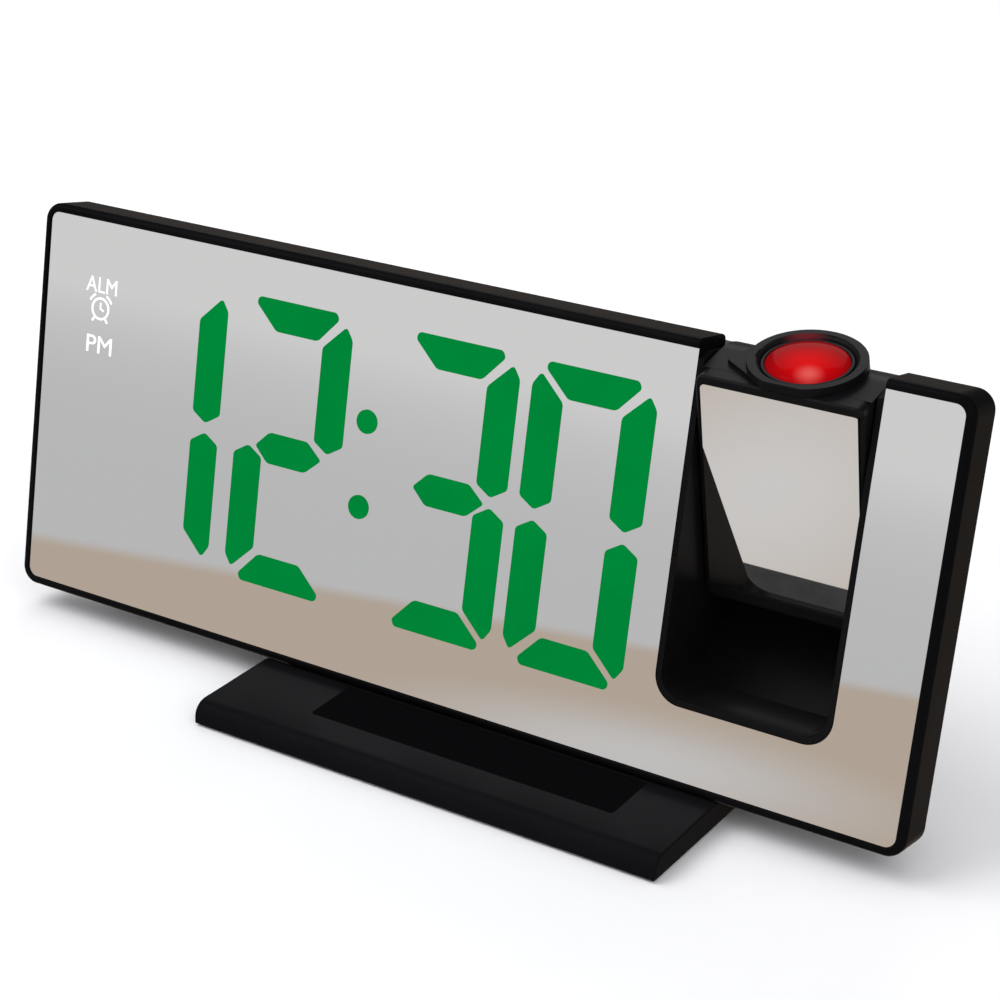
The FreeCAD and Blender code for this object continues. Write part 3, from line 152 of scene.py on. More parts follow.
def noise(tree, vector, scale, detail=4.0, rough=0.55):
    node = tree.nodes.new("ShaderNodeTexNoise")
    node.inputs["Detail"].default_value = detail
    node.inputs["Roughness"].default_value = rough
    tree.links.new(vector, node.inputs["Vector"])
    if isinstance(scale, float):
        node.inputs["Scale"].default_value = scale
    else:
        tree.links.new(scale, node.inputs["Scale"])
    return node.outputs["Fac"]


def spread(tree, value, low, high):
    """Maps the middle of a noise onto low to high."""
    node = tree.nodes.new("ShaderNodeMapRange")
    node.inputs["From Min"].default_value = 0.35
    node.inputs["From Max"].default_value = 0.65
    tree.links.new(value, node.inputs["Value"])
    for label, end in (("To Min", low), ("To Max", high)):
        if isinstance(end, float):
            node.inputs[label].default_value = end
        else:
            tree.links.new(end, node.inputs[label])
    return node.outputs["Result"]


def fade(tree, place, direction, start, end):
    """0 before start and 1 past end, along a direction."""
    along = tree.nodes.new("ShaderNodeVectorMath")
    along.operation = "DOT_PRODUCT"
    along.inputs[1].default_value = direction
    tree.links.new(place, along.inputs[0])
    steps = tree.nodes.new("ShaderNodeMapRange")
    steps.interpolation_type = "SMOOTHSTEP"
    steps.inputs["From Min"].default_value = start
    steps.inputs["From Max"].default_value = end
    tree.links.new(along.outputs["Value"], steps.inputs["Value"])
    return steps.outputs["Result"]


def blend(tree, factor, first, second):
    """Mixes two colours, each a number triple or a socket."""
    mix = tree.nodes.new("ShaderNodeMix")
    mix.data_type = "RGBA"
    tree.links.new(factor, mix.inputs["Factor"])
    for label, value in (("A", first), ("B", second)):
        if isinstance(value, tuple):
            mix.inputs[label].default_value = (*value, 1)
        else:
            tree.links.new(value, mix.inputs[label])
    return mix.outputs["Result"]


def moulded_group():
    """Colour drift, handling marks in the gloss and a fine moulded grain."""
    tree, start, end = new_group("moulded_surface", (
        ("Vector", "NodeSocketVector", None), ("Colour", "NodeSocketColor", (0.02, 0.02, 0.02, 1)),
        ("Drift", "NodeSocketColor", (0.03, 0.03, 0.03, 1)), ("Grain scale", "NodeSocketFloat", 3000.0),
        ("Grain depth", "NodeSocketFloat", 0.05), ("Smooth", "NodeSocketFloat", 0.2),
        ("Worn", "NodeSocketFloat", 0.3)),
        (("Colour", "NodeSocketColor"), ("Roughness", "NodeSocketFloat"), ("Normal", "NodeSocketVector")))
    vector = start.outputs["Vector"]
    broad = spread(tree, noise(tree, vector, 28.0), 0.0, 1.0)
    colour = blend(tree, broad, start.outputs["Colour"], start.outputs["Drift"])
    marks = noise(tree, vector, 95.0, 6.0, 0.7)
    rough = spread(tree, marks, start.outputs["Smooth"], start.outputs["Worn"])
    bump = tree.nodes.new("ShaderNodeBump")
    bump.inputs["Distance"].default_value = 0.00004
    tree.links.new(start.outputs["Grain depth"], bump.inputs["Strength"])
    tree.links.new(noise(tree, vector, start.outputs["Grain scale"], 2.0), bump.inputs["Height"])
    tree.links.new(colour, end.inputs["Colour"])
    tree.links.new(rough, end.inputs["Roughness"])
    tree.links.new(bump.outputs["Normal"], end.inputs["Normal"])
    return tree


def smear_group():
    """A mask of faint dust and wiping marks for mirrors and lenses."""
    tree, start, end = new_group("faint_smears", (
        ("Vector", "NodeSocketVector", None), ("Clean", "NodeSocketFloat", 0.01),
        ("Smeared", "NodeSocketFloat", 0.04)), (("Roughness", "NodeSocketFloat"),))
    stretch = tree.nodes.new("ShaderNodeMapping")
    stretch.inputs["Scale"].default_value = (1.0, 1.0, 3.0)
    stretch.inputs["Rotation"].default_value = (0.0, 0.5, 0.0)
    tree.links.new(start.outputs["Vector"], stretch.inputs["Vector"])
    marks = noise(tree, stretch.outputs["Vector"], 22.0, 5.0, 0.6)
    tree.links.new(spread(tree, marks, start.outputs["Clean"], start.outputs["Smeared"]),
                   end.inputs["Roughness"])
    return tree


def round_fade_group():
    """1 at a centre and 0 at a radius, measured in the piece's own space."""
    tree, start, end = new_group("round_fade", (
        ("Vector", "NodeSocketVector", None), ("Centre", "NodeSocketVector", None),
        ("Radius", "NodeSocketFloat", 0.005)), (("Mask", "NodeSocketFloat"),))
    away = tree.nodes.new("ShaderNodeVectorMath")
    away.operation = "DISTANCE"
    tree.links.new(start.outputs["Vector"], away.inputs[0])
    tree.links.new(start.outputs["Centre"], away.inputs[1])
    steps = tree.nodes.new("ShaderNodeMapRange")
    steps.interpolation_type = "SMOOTHSTEP"
    steps.inputs["To Min"].default_value = 1.0
    steps.inputs["To Max"].default_value = 0.0
    tree.links.new(away.outputs["Value"], steps.inputs["Value"])
    tree.links.new(start.outputs["Radius"], steps.inputs["From Max"])
    tree.links.new(steps.outputs["Result"], end.inputs["Mask"])
    return tree


GROUPS = {}


def start_material(name, **sockets):
    material = bpy.data.materials.new(name)
    material.use_nodes = True
    shader = material.node_tree.nodes["Principled BSDF"]
    for label, value in sockets.items():
        shader.inputs[label.replace("_", " ")].default_value = value
    coordinates = material.node_tree.nodes.new("ShaderNodeTexCoord")
    return material, shader, coordinates.outputs["Object"]


def add_group(material, name, vector, **values):
    node = material.node_tree.nodes.new("ShaderNodeGroup")
    node.node_tree = GROUPS[name]
    material.node_tree.links.new(vector, node.inputs["Vector"])
    for label, value in values.items():
        node.inputs[label.replace("_", " ")].default_value = value
    return node


def moulded(name, colour, drift, smooth, worn, scale=3000.0, depth=0.05, **sockets):
    material, shader, vector = start_material(name, **sockets)
    node = add_group(material, "moulded_surface", vector, Colour=(*colour, 1), Drift=(*drift, 1),
                     Grain_scale=scale, Grain_depth=depth, Smooth=smooth, Worn=worn)
    links = material.node_tree.links
    links.new(node.outputs["Colour"], shader.inputs["Base Color"])
    links.new(node.outputs["Roughness"], shader.inputs["Roughness"])
    links.new(node.outputs["Normal"], shader.inputs["Normal"])
    return material


def mirrored(name, colour):
    material, shader, vector = start_material(name, Base_Color=(*colour, 1), Metallic=1.0)
    node = add_group(material, "faint_smears", vector, Clean=0.012, Smeared=0.035)
    material.node_tree.links.new(node.outputs["Roughness"], shader.inputs["Roughness"])
    return material


def glowing(name, colour, power):
    """Light behind a panel, with a slight drift in its strength."""
    material, shader, vector = start_material(name, Roughness=0.35, Emission_Strength=power,
                                              Specular_IOR_Level=0.0)
    tree = material.node_tree
    drift = spread(tree, noise(tree, vector, 60.0), 0.0, 1.0)
    weaker = tuple(c * 0.93 for c in colour)
    stronger = tuple(min(1.0, c * 1.05) for c in colour)
    tree.links.new(blend(tree, drift, weaker, stronger), shader.inputs["Emission Color"])
    shader.inputs["Base Color"].default_value = (*[c * 0.25 for c in colour], 1)
    return material


def lit_collar(material):
    """Red light from the lens on the far lip of its collar."""
    tree = material.node_tree
    shader = tree.nodes["Principled BSDF"]
    vector = tree.nodes["Texture Coordinate"].outputs["Object"]
    lip = add_group(material, "round_fade", vector, Centre=in_head(LENS_X - 3.8, 7.2, 14.0), Radius=0.0048)
    glow = blend(tree, lip.outputs["Mask"], (0.0, 0.0, 0.0), (0.16, 0.010, 0.016))
    tree.links.new(glow, shader.inputs["Emission Color"])
    shader.inputs["Emission Strength"].default_value = 1.0
    return material


def lens_material(colour):
    """Red and lit from inside, with painted shade that darkens it towards the far rim and a painted
    highlight, a paler spot near the front.
    """
    material, shader, vector = start_material("lens_red", IOR=1.49, Specular_IOR_Level=0.008,
                                              Emission_Strength=1.0)
    tree = material.node_tree
    # Painted shade: the glow falls off towards the far rim of the dome.
    body = add_group(material, "round_fade", vector, Centre=in_head(LENS_X + 1.0, -1.9, 12.6), Radius=0.0095)
    # Painted highlight: a pale pink spot near the front of the dome.
    painted_highlight = add_group(material, "round_fade", vector, Centre=in_head(LENS_X + 2.3, -4.4, 12.9), Radius=0.0030)
    rim = (colour[0] * 0.12, colour[1], colour[2])
    shade = blend(tree, body.outputs["Mask"], rim, colour)
    glow = blend(tree, painted_highlight.outputs["Mask"], shade, (0.66, 0.10, 0.09))
    tree.links.new(glow, shader.inputs["Emission Color"])
    shader.inputs["Base Color"].default_value = (0.10, 0.0004, 0.001, 1)
    smear = add_group(material, "faint_smears", vector, Clean=0.05, Smeared=0.12)
    tree.links.new(smear.outputs["Roughness"], shader.inputs["Roughness"])
    return material


MATERIALS = {}


def make_materials(surface):
    GROUPS.update(moulded_surface=moulded_group(), faint_smears=smear_group(), round_fade=round_fade_group())
    black = tuple(surface.black)
    soft = tuple(c * 1.7 for c in black)
    softer = tuple(c * 2.0 for c in black)
    grey = (0.30, 0.30, 0.31)
    MATERIALS.update(
        frame=moulded("black_gloss", black, soft, 0.26, 0.29, 2200.0, 0.02, Specular_IOR_Level=0.008),
        head=moulded("black_satin", soft, softer, 0.30, 0.34, 2600.0, 0.05, Specular_IOR_Level=0.04),
        shell=moulded("head_satin", soft, softer, 0.30, 0.34, 2600.0, 0.05, Specular_IOR_Level=0.04),
        funnel=lit_collar(moulded("lit_funnel", soft, softer, 0.30, 0.34, 2600.0, 0.05,
                                  Specular_IOR_Level=0.04)),
        liner=moulded("pocket_black", (0.0045, 0.0045, 0.005), (0.006, 0.006, 0.0066), 0.30, 0.34,
                      2200.0, 0.02, Specular_IOR_Level=0.03),
        base=moulded("base_black", soft, softer, 0.30, 0.32, 2600.0, 0.02, Specular_IOR_Level=0.006),
        # Painted shade: deeper black and without gloss, for the sheet that darkens the base's top.
        inset=moulded("inset_black", black, black, 0.30, 0.32, 2600.0, 0.02, Specular_IOR_Level=0.0),
        cover=moulded("cover_grained", (0.010, 0.010, 0.011), (0.014, 0.014, 0.015), 0.42, 0.55, 2400.0,
                      0.5, Specular_IOR_Level=0.3),
        key=moulded("key_black", (0.014, 0.014, 0.015), (0.019, 0.019, 0.020), 0.34, 0.46, 3000.0, 0.2),
        rubber=moulded("pad_rubber", (0.016, 0.016, 0.016), (0.026, 0.026, 0.026), 0.75, 0.90, 1500.0,
                       0.8),
        white=moulded("white_plastic", (0.75, 0.75, 0.73), (0.68, 0.68, 0.66), 0.45, 0.6),
        board=moulded("green_board", (0.01, 0.09, 0.035), (0.02, 0.13, 0.05), 0.25, 0.4, 900.0, 0.4),
        chip=moulded("chip_black", (0.03, 0.03, 0.03), (0.045, 0.045, 0.045), 0.5, 0.65),
        steel=moulded("plated_steel", (0.55, 0.55, 0.56), grey, 0.22, 0.42, 1600.0, 0.15, Metallic=1.0),
        iron=moulded("ballast_iron", (0.12, 0.11, 0.10), (0.2, 0.19, 0.18), 0.5, 0.8, 700.0, 0.8,
                     Metallic=1.0),
        brass=moulded("contact_brass", (0.75, 0.55, 0.20), (0.62, 0.43, 0.14), 0.2, 0.35, 1600.0, 0.1,
                      Metallic=1.0),
        print=moulded("white_print", (0.55, 0.55, 0.55), (0.45, 0.45, 0.45), 0.5, 0.6, 3000.0, 0.1),
        glass=moulded("clear_lens", (0.9, 0.94, 0.96), (0.85, 0.9, 0.93), 0.02, 0.06, 900.0, 0.0,
                      Transmission_Weight=1.0, IOR=1.5),
        mirror=mirrored("half_mirror", (0.86, 0.87, 0.88)),
        head_mirror=mirrored("head_mirror", (0.96, 0.965, 0.97)),
        figures=glowing("lit_green", tuple(surface.light), 1.0),
        marks=glowing("lit_white", (0.95, 0.97, 1.0), 1.0),
        lens=lens_material(tuple(surface.lens)),
    )


# Pieces

def add_piece(name, mesh, material, body):
    piece = bpy.data.objects.new(name, mesh)
    bpy.context.scene.collection.objects.link(piece)
    mesh.materials.clear()
    mesh.materials.append(MATERIALS[material])
    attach(piece, body)
    return piece


def finish_mesh(bm, name, sharp=35.0):
    mesh = bpy.data.meshes.new(name)
    bmesh.ops.recalc_face_normals(bm, faces=bm.faces)
    bm.to_mesh(mesh)
    bm.free()
    for face in mesh.polygons:
        face.use_smooth = True
    mesh.set_sharp_from_angle(angle=math.radians(sharp))
    return mesh


def clean_copy(node, join=True):
    """A CAD node's surface as a mesh of its own, with its flat areas joined."""
    bm = bmesh.new()
    bm.from_mesh(frame["nodes"][node].data)
    bmesh.ops.remove_doubles(bm, verts=bm.verts, dist=1e-6)
    if join:
        bmesh.ops.dissolve_limit(bm, angle_limit=math.radians(0.6), verts=bm.verts, edges=bm.edges)
    return bm


def dress(node, material, edge, segments=3, angle=40.0, join=True):
    """Rounds the edges of a node's surface as moulded parts have them."""
    piece = add_piece(f"look_{node}", finish_mesh(clean_copy(node, join), f"look_{node}"), material,
                      BODY_OF[node])
    if edge:
        bevel = piece.modifiers.new("edges", "BEVEL")
        bevel.width = edge * MM
        bevel.segments = segments
        bevel.limit_method = "ANGLE"
        bevel.angle_limit = math.radians(angle)
        bevel.use_clamp_overlap = True
        bevel.miter_outer = "MITER_ARC"
        flats = piece.modifiers.new("flats", "WEIGHTED_NORMAL")
        flats.keep_sharp = True
        flats.weight = 100
    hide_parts(node)
    return piece


def blacken(piece, front):
    """Paints all of a mirror but its front black, bevel included."""
    piece.data.materials.append(MATERIALS["frame"])
    for face in piece.data.polygons:
        if face.normal.dot(front) < 0.99:
            face.material_index = 1
    piece.modifiers["edges"].material = 1


def light_funnel(piece):
    """Marks the inner slope of the lens collar, which the lens lights."""
    middle = in_head(LENS_X, 0, 0)
    piece.data.materials.append(MATERIALS["funnel"])
    for face in piece.data.polygons:
        out = face.center - middle
        out -= HEAD_UP * out.dot(HEAD_UP)
        if out.length < 9.6 * MM and face.normal.dot(out) < -0.3 * out.length:
            face.material_index = 1


def keep(nodes, material):
    """CAD nodes whose shape is right get a material only."""
    for node in nodes:
        mesh = frame["nodes"][node].data
        mesh.materials.clear()
        mesh.materials.append(MATERIALS[material])


def plate(bm, outline, thick):
    """A flat plate in X and Y whose front is at Z = thick."""
    low = [bm.verts.new((x * MM, y * MM, 0)) for x, y in outline]
    face = bm.faces.new(low)
    new = bmesh.ops.extrude_face_region(bm, geom=[face])
    for item in new["geom"]:
        if isinstance(item, bmesh.types.BMVert):
            item.co.z += thick * MM


def ribbon(bm, points, width, closed=False, thick=0.03):
    """A thin line of even width through points."""
    count = len(points)
    for i in range(count if closed else count - 1):
        a, b = Vector(points[i]), Vector(points[(i + 1) % count])
        along = (b - a).normalized()
        side = Vector((-along.y, along.x)) * width / 2
        over = along * width * 0.12
        plate(bm, [tuple(p) for p in (a - over + side, a - over - side, b + over - side, b + over + side)],
              thick)


def ring_points(x, y, radius, count=40, start=0.0, sweep=360.0):
    step = math.radians(sweep) / count
    first = math.radians(start)
    full = count if sweep >= 360.0 else count + 1
    return [(x + radius * math.cos(first + step * i), y + radius * math.sin(first + step * i))
            for i in range(full)]


def words_mesh(text, size, thick=0.03):
    """Plain capitals as a thin mesh in X and Y, centred."""
    curve = bpy.data.curves.new(f"words_{text}", "FONT")
    curve.body = text
    curve.size = size * MM
    curve.extrude = thick * MM / 2
    curve.align_x = "CENTER"
    curve.align_y = "CENTER"
    holder = bpy.data.objects.new("words", curve)
    bpy.context.scene.collection.objects.link(holder)
    mesh = bpy.data.meshes.new_from_object(holder)
    bpy.data.objects.remove(holder)
    bpy.data.curves.remove(curve)
    return mesh


def add_words(name, text, size, matrix, material, body, stretch=1.0):
    mesh = words_mesh(text, size)
    mesh.transform(matrix @ Matrix.Diagonal((stretch, 1.0, 1.0, 1.0)))
    return add_piece(name, mesh, material, body)


def turned_mesh(name, profile, matrix, steps=96):
    """A round piece from (radius, height) points in mm."""
    bm = bmesh.new()
    rings = []
    for radius, height in profile:
        if radius < 1e-6:
            rings.append([bm.verts.new((0, 0, height * MM))])
            continue
        rings.append([bm.verts.new((radius * MM * math.cos(math.tau * i / steps),
                                    radius * MM * math.sin(math.tau * i / steps), height * MM))
                      for i in range(steps)])
    for low, high in zip(rings, rings[1:]):
        for i in range(steps):
            j = (i + 1) % steps
            corners = [low[i % len(low)], low[j % len(low)], high[j % len(high)], high[i % len(high)]]
            unique = list(dict.fromkeys(corners))
            if len(unique) > 2:
                bm.faces.new(unique)
    bm.transform(matrix)
    return finish_mesh(bm, name, 50.0)


# One operator for each group of pieces

class ClockHousing(bpy.types.Operator):
    """Dresses the frame, mirror, pocket liner and rear cover"""
    bl_idname = "clock.housing"
    bl_label = "Housing"

    def execute(self, context):
        edge = context.scene.clock_surface.edge
        dress("front_frame", "frame", edge * 0.6)
        blacken(dress("mirror_panel", "mirror", edge * 0.25, 2), -BACK)
        dress("pocket_liner", "liner", edge * 0.8, 3, 50.0)
        dress("rear_cover", "cover", edge * 0.6, 2, 50.0, join=False)
        dress("speaker", "steel", 0)
        dress("usb_socket", "steel", 0.1, 2)
        dress("power_inlet", "chip", 0.12, 2, 50.0)
        keep(("left_pivot_pin", "right_pivot_pin", "left_pivot_boss", "right_pivot_boss"), "head")
        return {"FINISHED"}


class ClockDisplay(bpy.types.Operator):
    """Makes the lit figures and the unlit display behind the mirror"""
    bl_idname = "clock.display"
    bl_label = "Display"

    def execute(self, context):
        bm = clean_copy("lit_digits")
        fronts = [face for face in bm.faces if face.normal.dot(-BACK) > 0.99]
        outlines = [[corner.co.copy() for corner in face.verts] for face in fronts]
        bm.free()
        bm = bmesh.new()
        for outline in outlines:
            face = bm.faces.new([bm.verts.new(point) for point in outline])
            if len(outline) < 12:
                bmesh.ops.bevel(bm, geom=list(face.verts), offset=0.55 * MM, segments=5,
                                profile=0.5, affect="VERTICES", clamp_overlap=True)
        new = bmesh.ops.extrude_face_region(bm, geom=list(bm.faces))
        depth = BACK * 0.13 * MM
        for item in new["geom"]:
            if isinstance(item, bmesh.types.BMVert):
                item.co += depth
        piece = add_piece("look_lit_digits", finish_mesh(bm, "look_lit_digits"), "figures", "housing")
        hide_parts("lit_digits")
        keep(("digit_reflector",), "white")
        keep(("segment_diffusers",), "figures")
        keep(("segment_leds", "board_parts", "key_switches"), "chip")
        keep(("display_board", "main_board", "key_board"), "board")
        keep(("board_posts",), "brass")
        return {"FINISHED"}


class ClockMarks(bpy.types.Operator):
    """Makes the small lit words and the alarm sign left of the figures"""
    bl_idname = "clock.marks"
    bl_label = "Marks"

    def execute(self, context):
        add_words("mark_alarm_word", "ALM", 4.3, face_matrix(-79.6, 60.75, MARKS_DEPTH), "marks", "housing",
                  0.95)
        add_words("mark_pm_word", "PM", 4.9, face_matrix(-79.4, 49.2, MARKS_DEPTH), "marks", "housing", 1.12)
        bm = bmesh.new()
        ribbon(bm, ring_points(0, 0, 2.0), STROKE, True)
        for side in (-1, 1):
            angle = 90 - side * 45
            ribbon(bm, ring_points(0, 0, 2.95, 8, angle - 17, 34), STROKE)
            ribbon(bm, [(side * 1.3, -1.75), (side * 1.85, -2.5)], STROKE)
        ribbon(bm, [(0, 1.15), (0, 0), (0.85, -0.35)], 0.34)
        bm.transform(face_matrix(-79.7, 56.4, MARKS_DEPTH))
        add_piece("mark_alarm_sign", finish_mesh(bm, "mark_alarm_sign"), "marks", "housing")
        return {"FINISHED"}


class ClockHead(bpy.types.Operator):
    """Dresses the projector head"""
    bl_idname = "clock.head"
    bl_label = "Projector head"

    def execute(self, context):
        edge = context.scene.clock_surface.edge
        dress("head_bezel", "head", edge * 0.6, 3, 50.0)
        blacken(dress("head_mirror", "head_mirror", edge * 0.3, 2), -HEAD_BACK)
        light_funnel(dress("head_shell", "shell", edge * 0.8, 3, 50.0))
        keep(("projector_core",), "chip")
        keep(("lamp_board",), "board")
        keep(("condenser_lens", "picture_film"), "glass")
        return {"FINISHED"}


class ClockLens(bpy.types.Operator):
    """Makes the red dome and dresses its barrel"""
    bl_idname = "clock.lens"
    bl_label = "Lens"

    def execute(self, context):
        dress("lens_barrel", "head", 0.15, 2, 50.0)
        foot, radius, crown, rim, rings = 10.6, 6.9, 1.0, 1.62, 24
        profile = [(0.0, 0.0), (radius - 0.1, 0.0), (radius, 0.1), (radius, 1.5), (radius - 0.1, rim)]
        for i in range(1, rings + 1):
            angle = i / rings * math.pi / 2
            profile.append(((radius - 0.15) * math.cos(angle), rim + (crown - 0.03) * math.sin(angle)))
        place = Matrix.Translation(in_head(LENS_X, 0, foot)) @ TURNED
        piece = add_piece("look_red_lens", turned_mesh("look_red_lens", profile, place), "lens",
                          "focus_barrel")
        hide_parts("red_lens")
        keep(("objective_lens",), "glass")
        return {"FINISHED"}


class ClockBase(bpy.types.Operator):
    """Dresses the base and its pad"""
    bl_idname = "clock.base"
    bl_label = "Base"

    def execute(self, context):
        edge = context.scene.clock_surface.edge
        shell = dress("base_shell", "base", edge, 3, 50.0)
        shell.visible_glossy = False
        self.add_inset()
        dress("base_cover", "cover", edge * 0.6, 2)
        dress("rest_pad", "rubber", edge * 0.5, 2)
        keep(("ballast",), "iron")
        return {"FINISHED"}

    def add_inset(self):
        """A deeper black sheet on the base's top, before the face: painted shade for the clock body's shadow
        and dark reflection there.
        """
        bm = bmesh.new()
        row = SHADE_SHEET_FRONT + SHADE_SHEET_ROUND
        right = ring_points(SHADE_SHEET_RIGHT - SHADE_SHEET_ROUND, row, SHADE_SHEET_ROUND, 6, 270, 90)
        left = ring_points(SHADE_SHEET_LEFT + SHADE_SHEET_ROUND, row, SHADE_SHEET_ROUND, 6, 180, 90)
        plate(bm, right + [(SHADE_SHEET_RIGHT, SHADE_SHEET_BACK), (SHADE_SHEET_LEFT, SHADE_SHEET_BACK)] + left, 0.04)
        fall = (BASE_BACK_HEIGHT - BASE_FRONT_HEIGHT) / BASE_SLOPE_LENGTH
        for vert in bm.verts:
            vert.co.z += (BASE_BACK_HEIGHT - 0.005 + vert.co.y / MM * fall) * MM
        inset = add_piece("base_inset", finish_mesh(bm, "base_inset"), "inset", "housing")
        inset.visible_glossy = False


class ClockBack(bpy.types.Operator):
    """Makes the keys, screws, printed words and contacts at the back and the top"""
    bl_idname = "clock.back"
    bl_label = "Back"

    def execute(self, context):
        keys = [node for node in BODY_OF if node.endswith("_key")]
        for node in keys + ["snooze_bar"]:
            dress(node, "key", 0.15, 2, 50.0)
        dress("battery_door", "cover", 0.2, 2, 50.0)
        dress("coin_cell", "steel", 0.2, 2)
        keep(("cell_clip",), "brass")
        for i, word in enumerate(KEY_WORDS):
            place = face_matrix(KEY_FIRST + KEY_PITCH * i, KEY_ROW + 5.4, COVER_BACK, True)
            add_words(f"print_key_{i}", word, 2.6, place, "print", "housing")
        add_words("print_snooze", "SNOOZE / LIGHT", 3.0, self.top_matrix(), "print", "snooze")
        rows = (("print_inlet", "5V", INLET_X, INLET_WORD_ROW),
                ("print_usb", "USB", SOCKET_X, SOCKET_WORD_ROW))
        for name, word, x, z in rows:
            add_words(name, word, 2.4, face_matrix(x, z, COVER_BACK, True), "print", "housing")
        self.add_screws()
        self.add_contacts()
        return {"FINISHED"}

    def top_matrix(self):
        turn = Matrix((-ACROSS, -BACK, UP)).transposed().to_4x4()
        low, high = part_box("snooze_bar")
        return Matrix.Translation(on_face((low[0] + high[0]) / 2 / MM, 72.0, 19.5)) @ turn

    def add_screws(self):
        """Pan heads with a cross recess, over the plain screws."""
        bm = bmesh.new()
        turn = Matrix((ACROSS, UP, BACK)).transposed().to_4x4()
        for x in (-SCREW_X, SCREW_X):
            for z in SCREW_ROWS:
                self.one_screw(bm, Matrix.Translation(on_face(x, z, SCREW_SEAT)) @ turn)
        piece = add_piece("look_housing_screws", finish_mesh(bm, "look_housing_screws"), "steel", "housing")
        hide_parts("housing_screws")

    def one_screw(self, bm, place):
        """One head: rings from the seat to the crown, then the recess."""
        steps = 48
        half, reach, crown, depth = 0.28, 1.15, 1.18, 0.45
        rows = ((2.15, 0.0), (2.18, 0.5), (2.05, 0.85), (1.75, 1.08), (1.45, crown))
        rings = [[bm.verts.new(place @ Vector((r * MM * math.cos(math.tau * i / steps),
                                               r * MM * math.sin(math.tau * i / steps), h * MM)))
                  for i in range(steps)] for r, h in rows]
        for low, high in zip(rings, rings[1:]):
            for i in range(steps):
                j = (i + 1) % steps
                bm.faces.new((low[i], low[j], high[j], high[i]))
        bm.faces.new(list(reversed(rings[0])))
        arm = []
        for turn in range(4):
            c, s = math.cos(turn * math.pi / 2), math.sin(turn * math.pi / 2)
            for x, y in ((half, half), (reach, half), (reach, -half)):
                arm.append((x * c + y * s, -x * s + y * c) if turn else (x, y))
        top = [bm.verts.new(place @ Vector((x * MM, y * MM, crown * MM))) for x, y in arm]
        floor = [bm.verts.new(place @ Vector((x * 0.75 * MM, y * 0.75 * MM, depth * MM))) for x, y in arm]
        count = len(arm)
        for i in range(count):
            j = (i + 1) % count
            bm.faces.new((top[i], top[j], floor[j], floor[i]))
        bm.faces.new(floor)
        edges = [bm.edges.get((rings[-1][i], rings[-1][(i + 1) % steps])) for i in range(steps)]
        edges += [bm.edges.get((top[i], top[(i + 1) % count])) for i in range(count)]
        bmesh.ops.triangle_fill(bm, use_beauty=True, use_dissolve=False, edges=edges)

    def add_contacts(self):
        """Four strips on the tongue of the charging socket."""
        bm = bmesh.new()
        thick, length, width, pitch, count = 0.12, 7.0, 1.0, 2.2, 4
        scale = Matrix.Diagonal((thick * MM, length * MM, width * MM, 1.0))
        turn = Matrix((ACROSS, BACK, UP)).transposed().to_4x4()
        for i in range(count):
            z = SOCKET_ROW + pitch * (i - (count - 1) / 2)
            strip = bmesh.ops.create_cube(bm, size=1.0)["verts"]
            move = Matrix.Translation(on_face(SOCKET_X - thick, z, COVER_BACK - 6.5))
            bmesh.ops.transform(bm, matrix=move @ turn @ scale, verts=strip)
        bmesh.ops.bevel(bm, geom=list(bm.edges), offset=0.03 * MM, segments=1, affect="EDGES")
        add_piece("socket_contacts", finish_mesh(bm, "socket_contacts"), "brass", "housing")


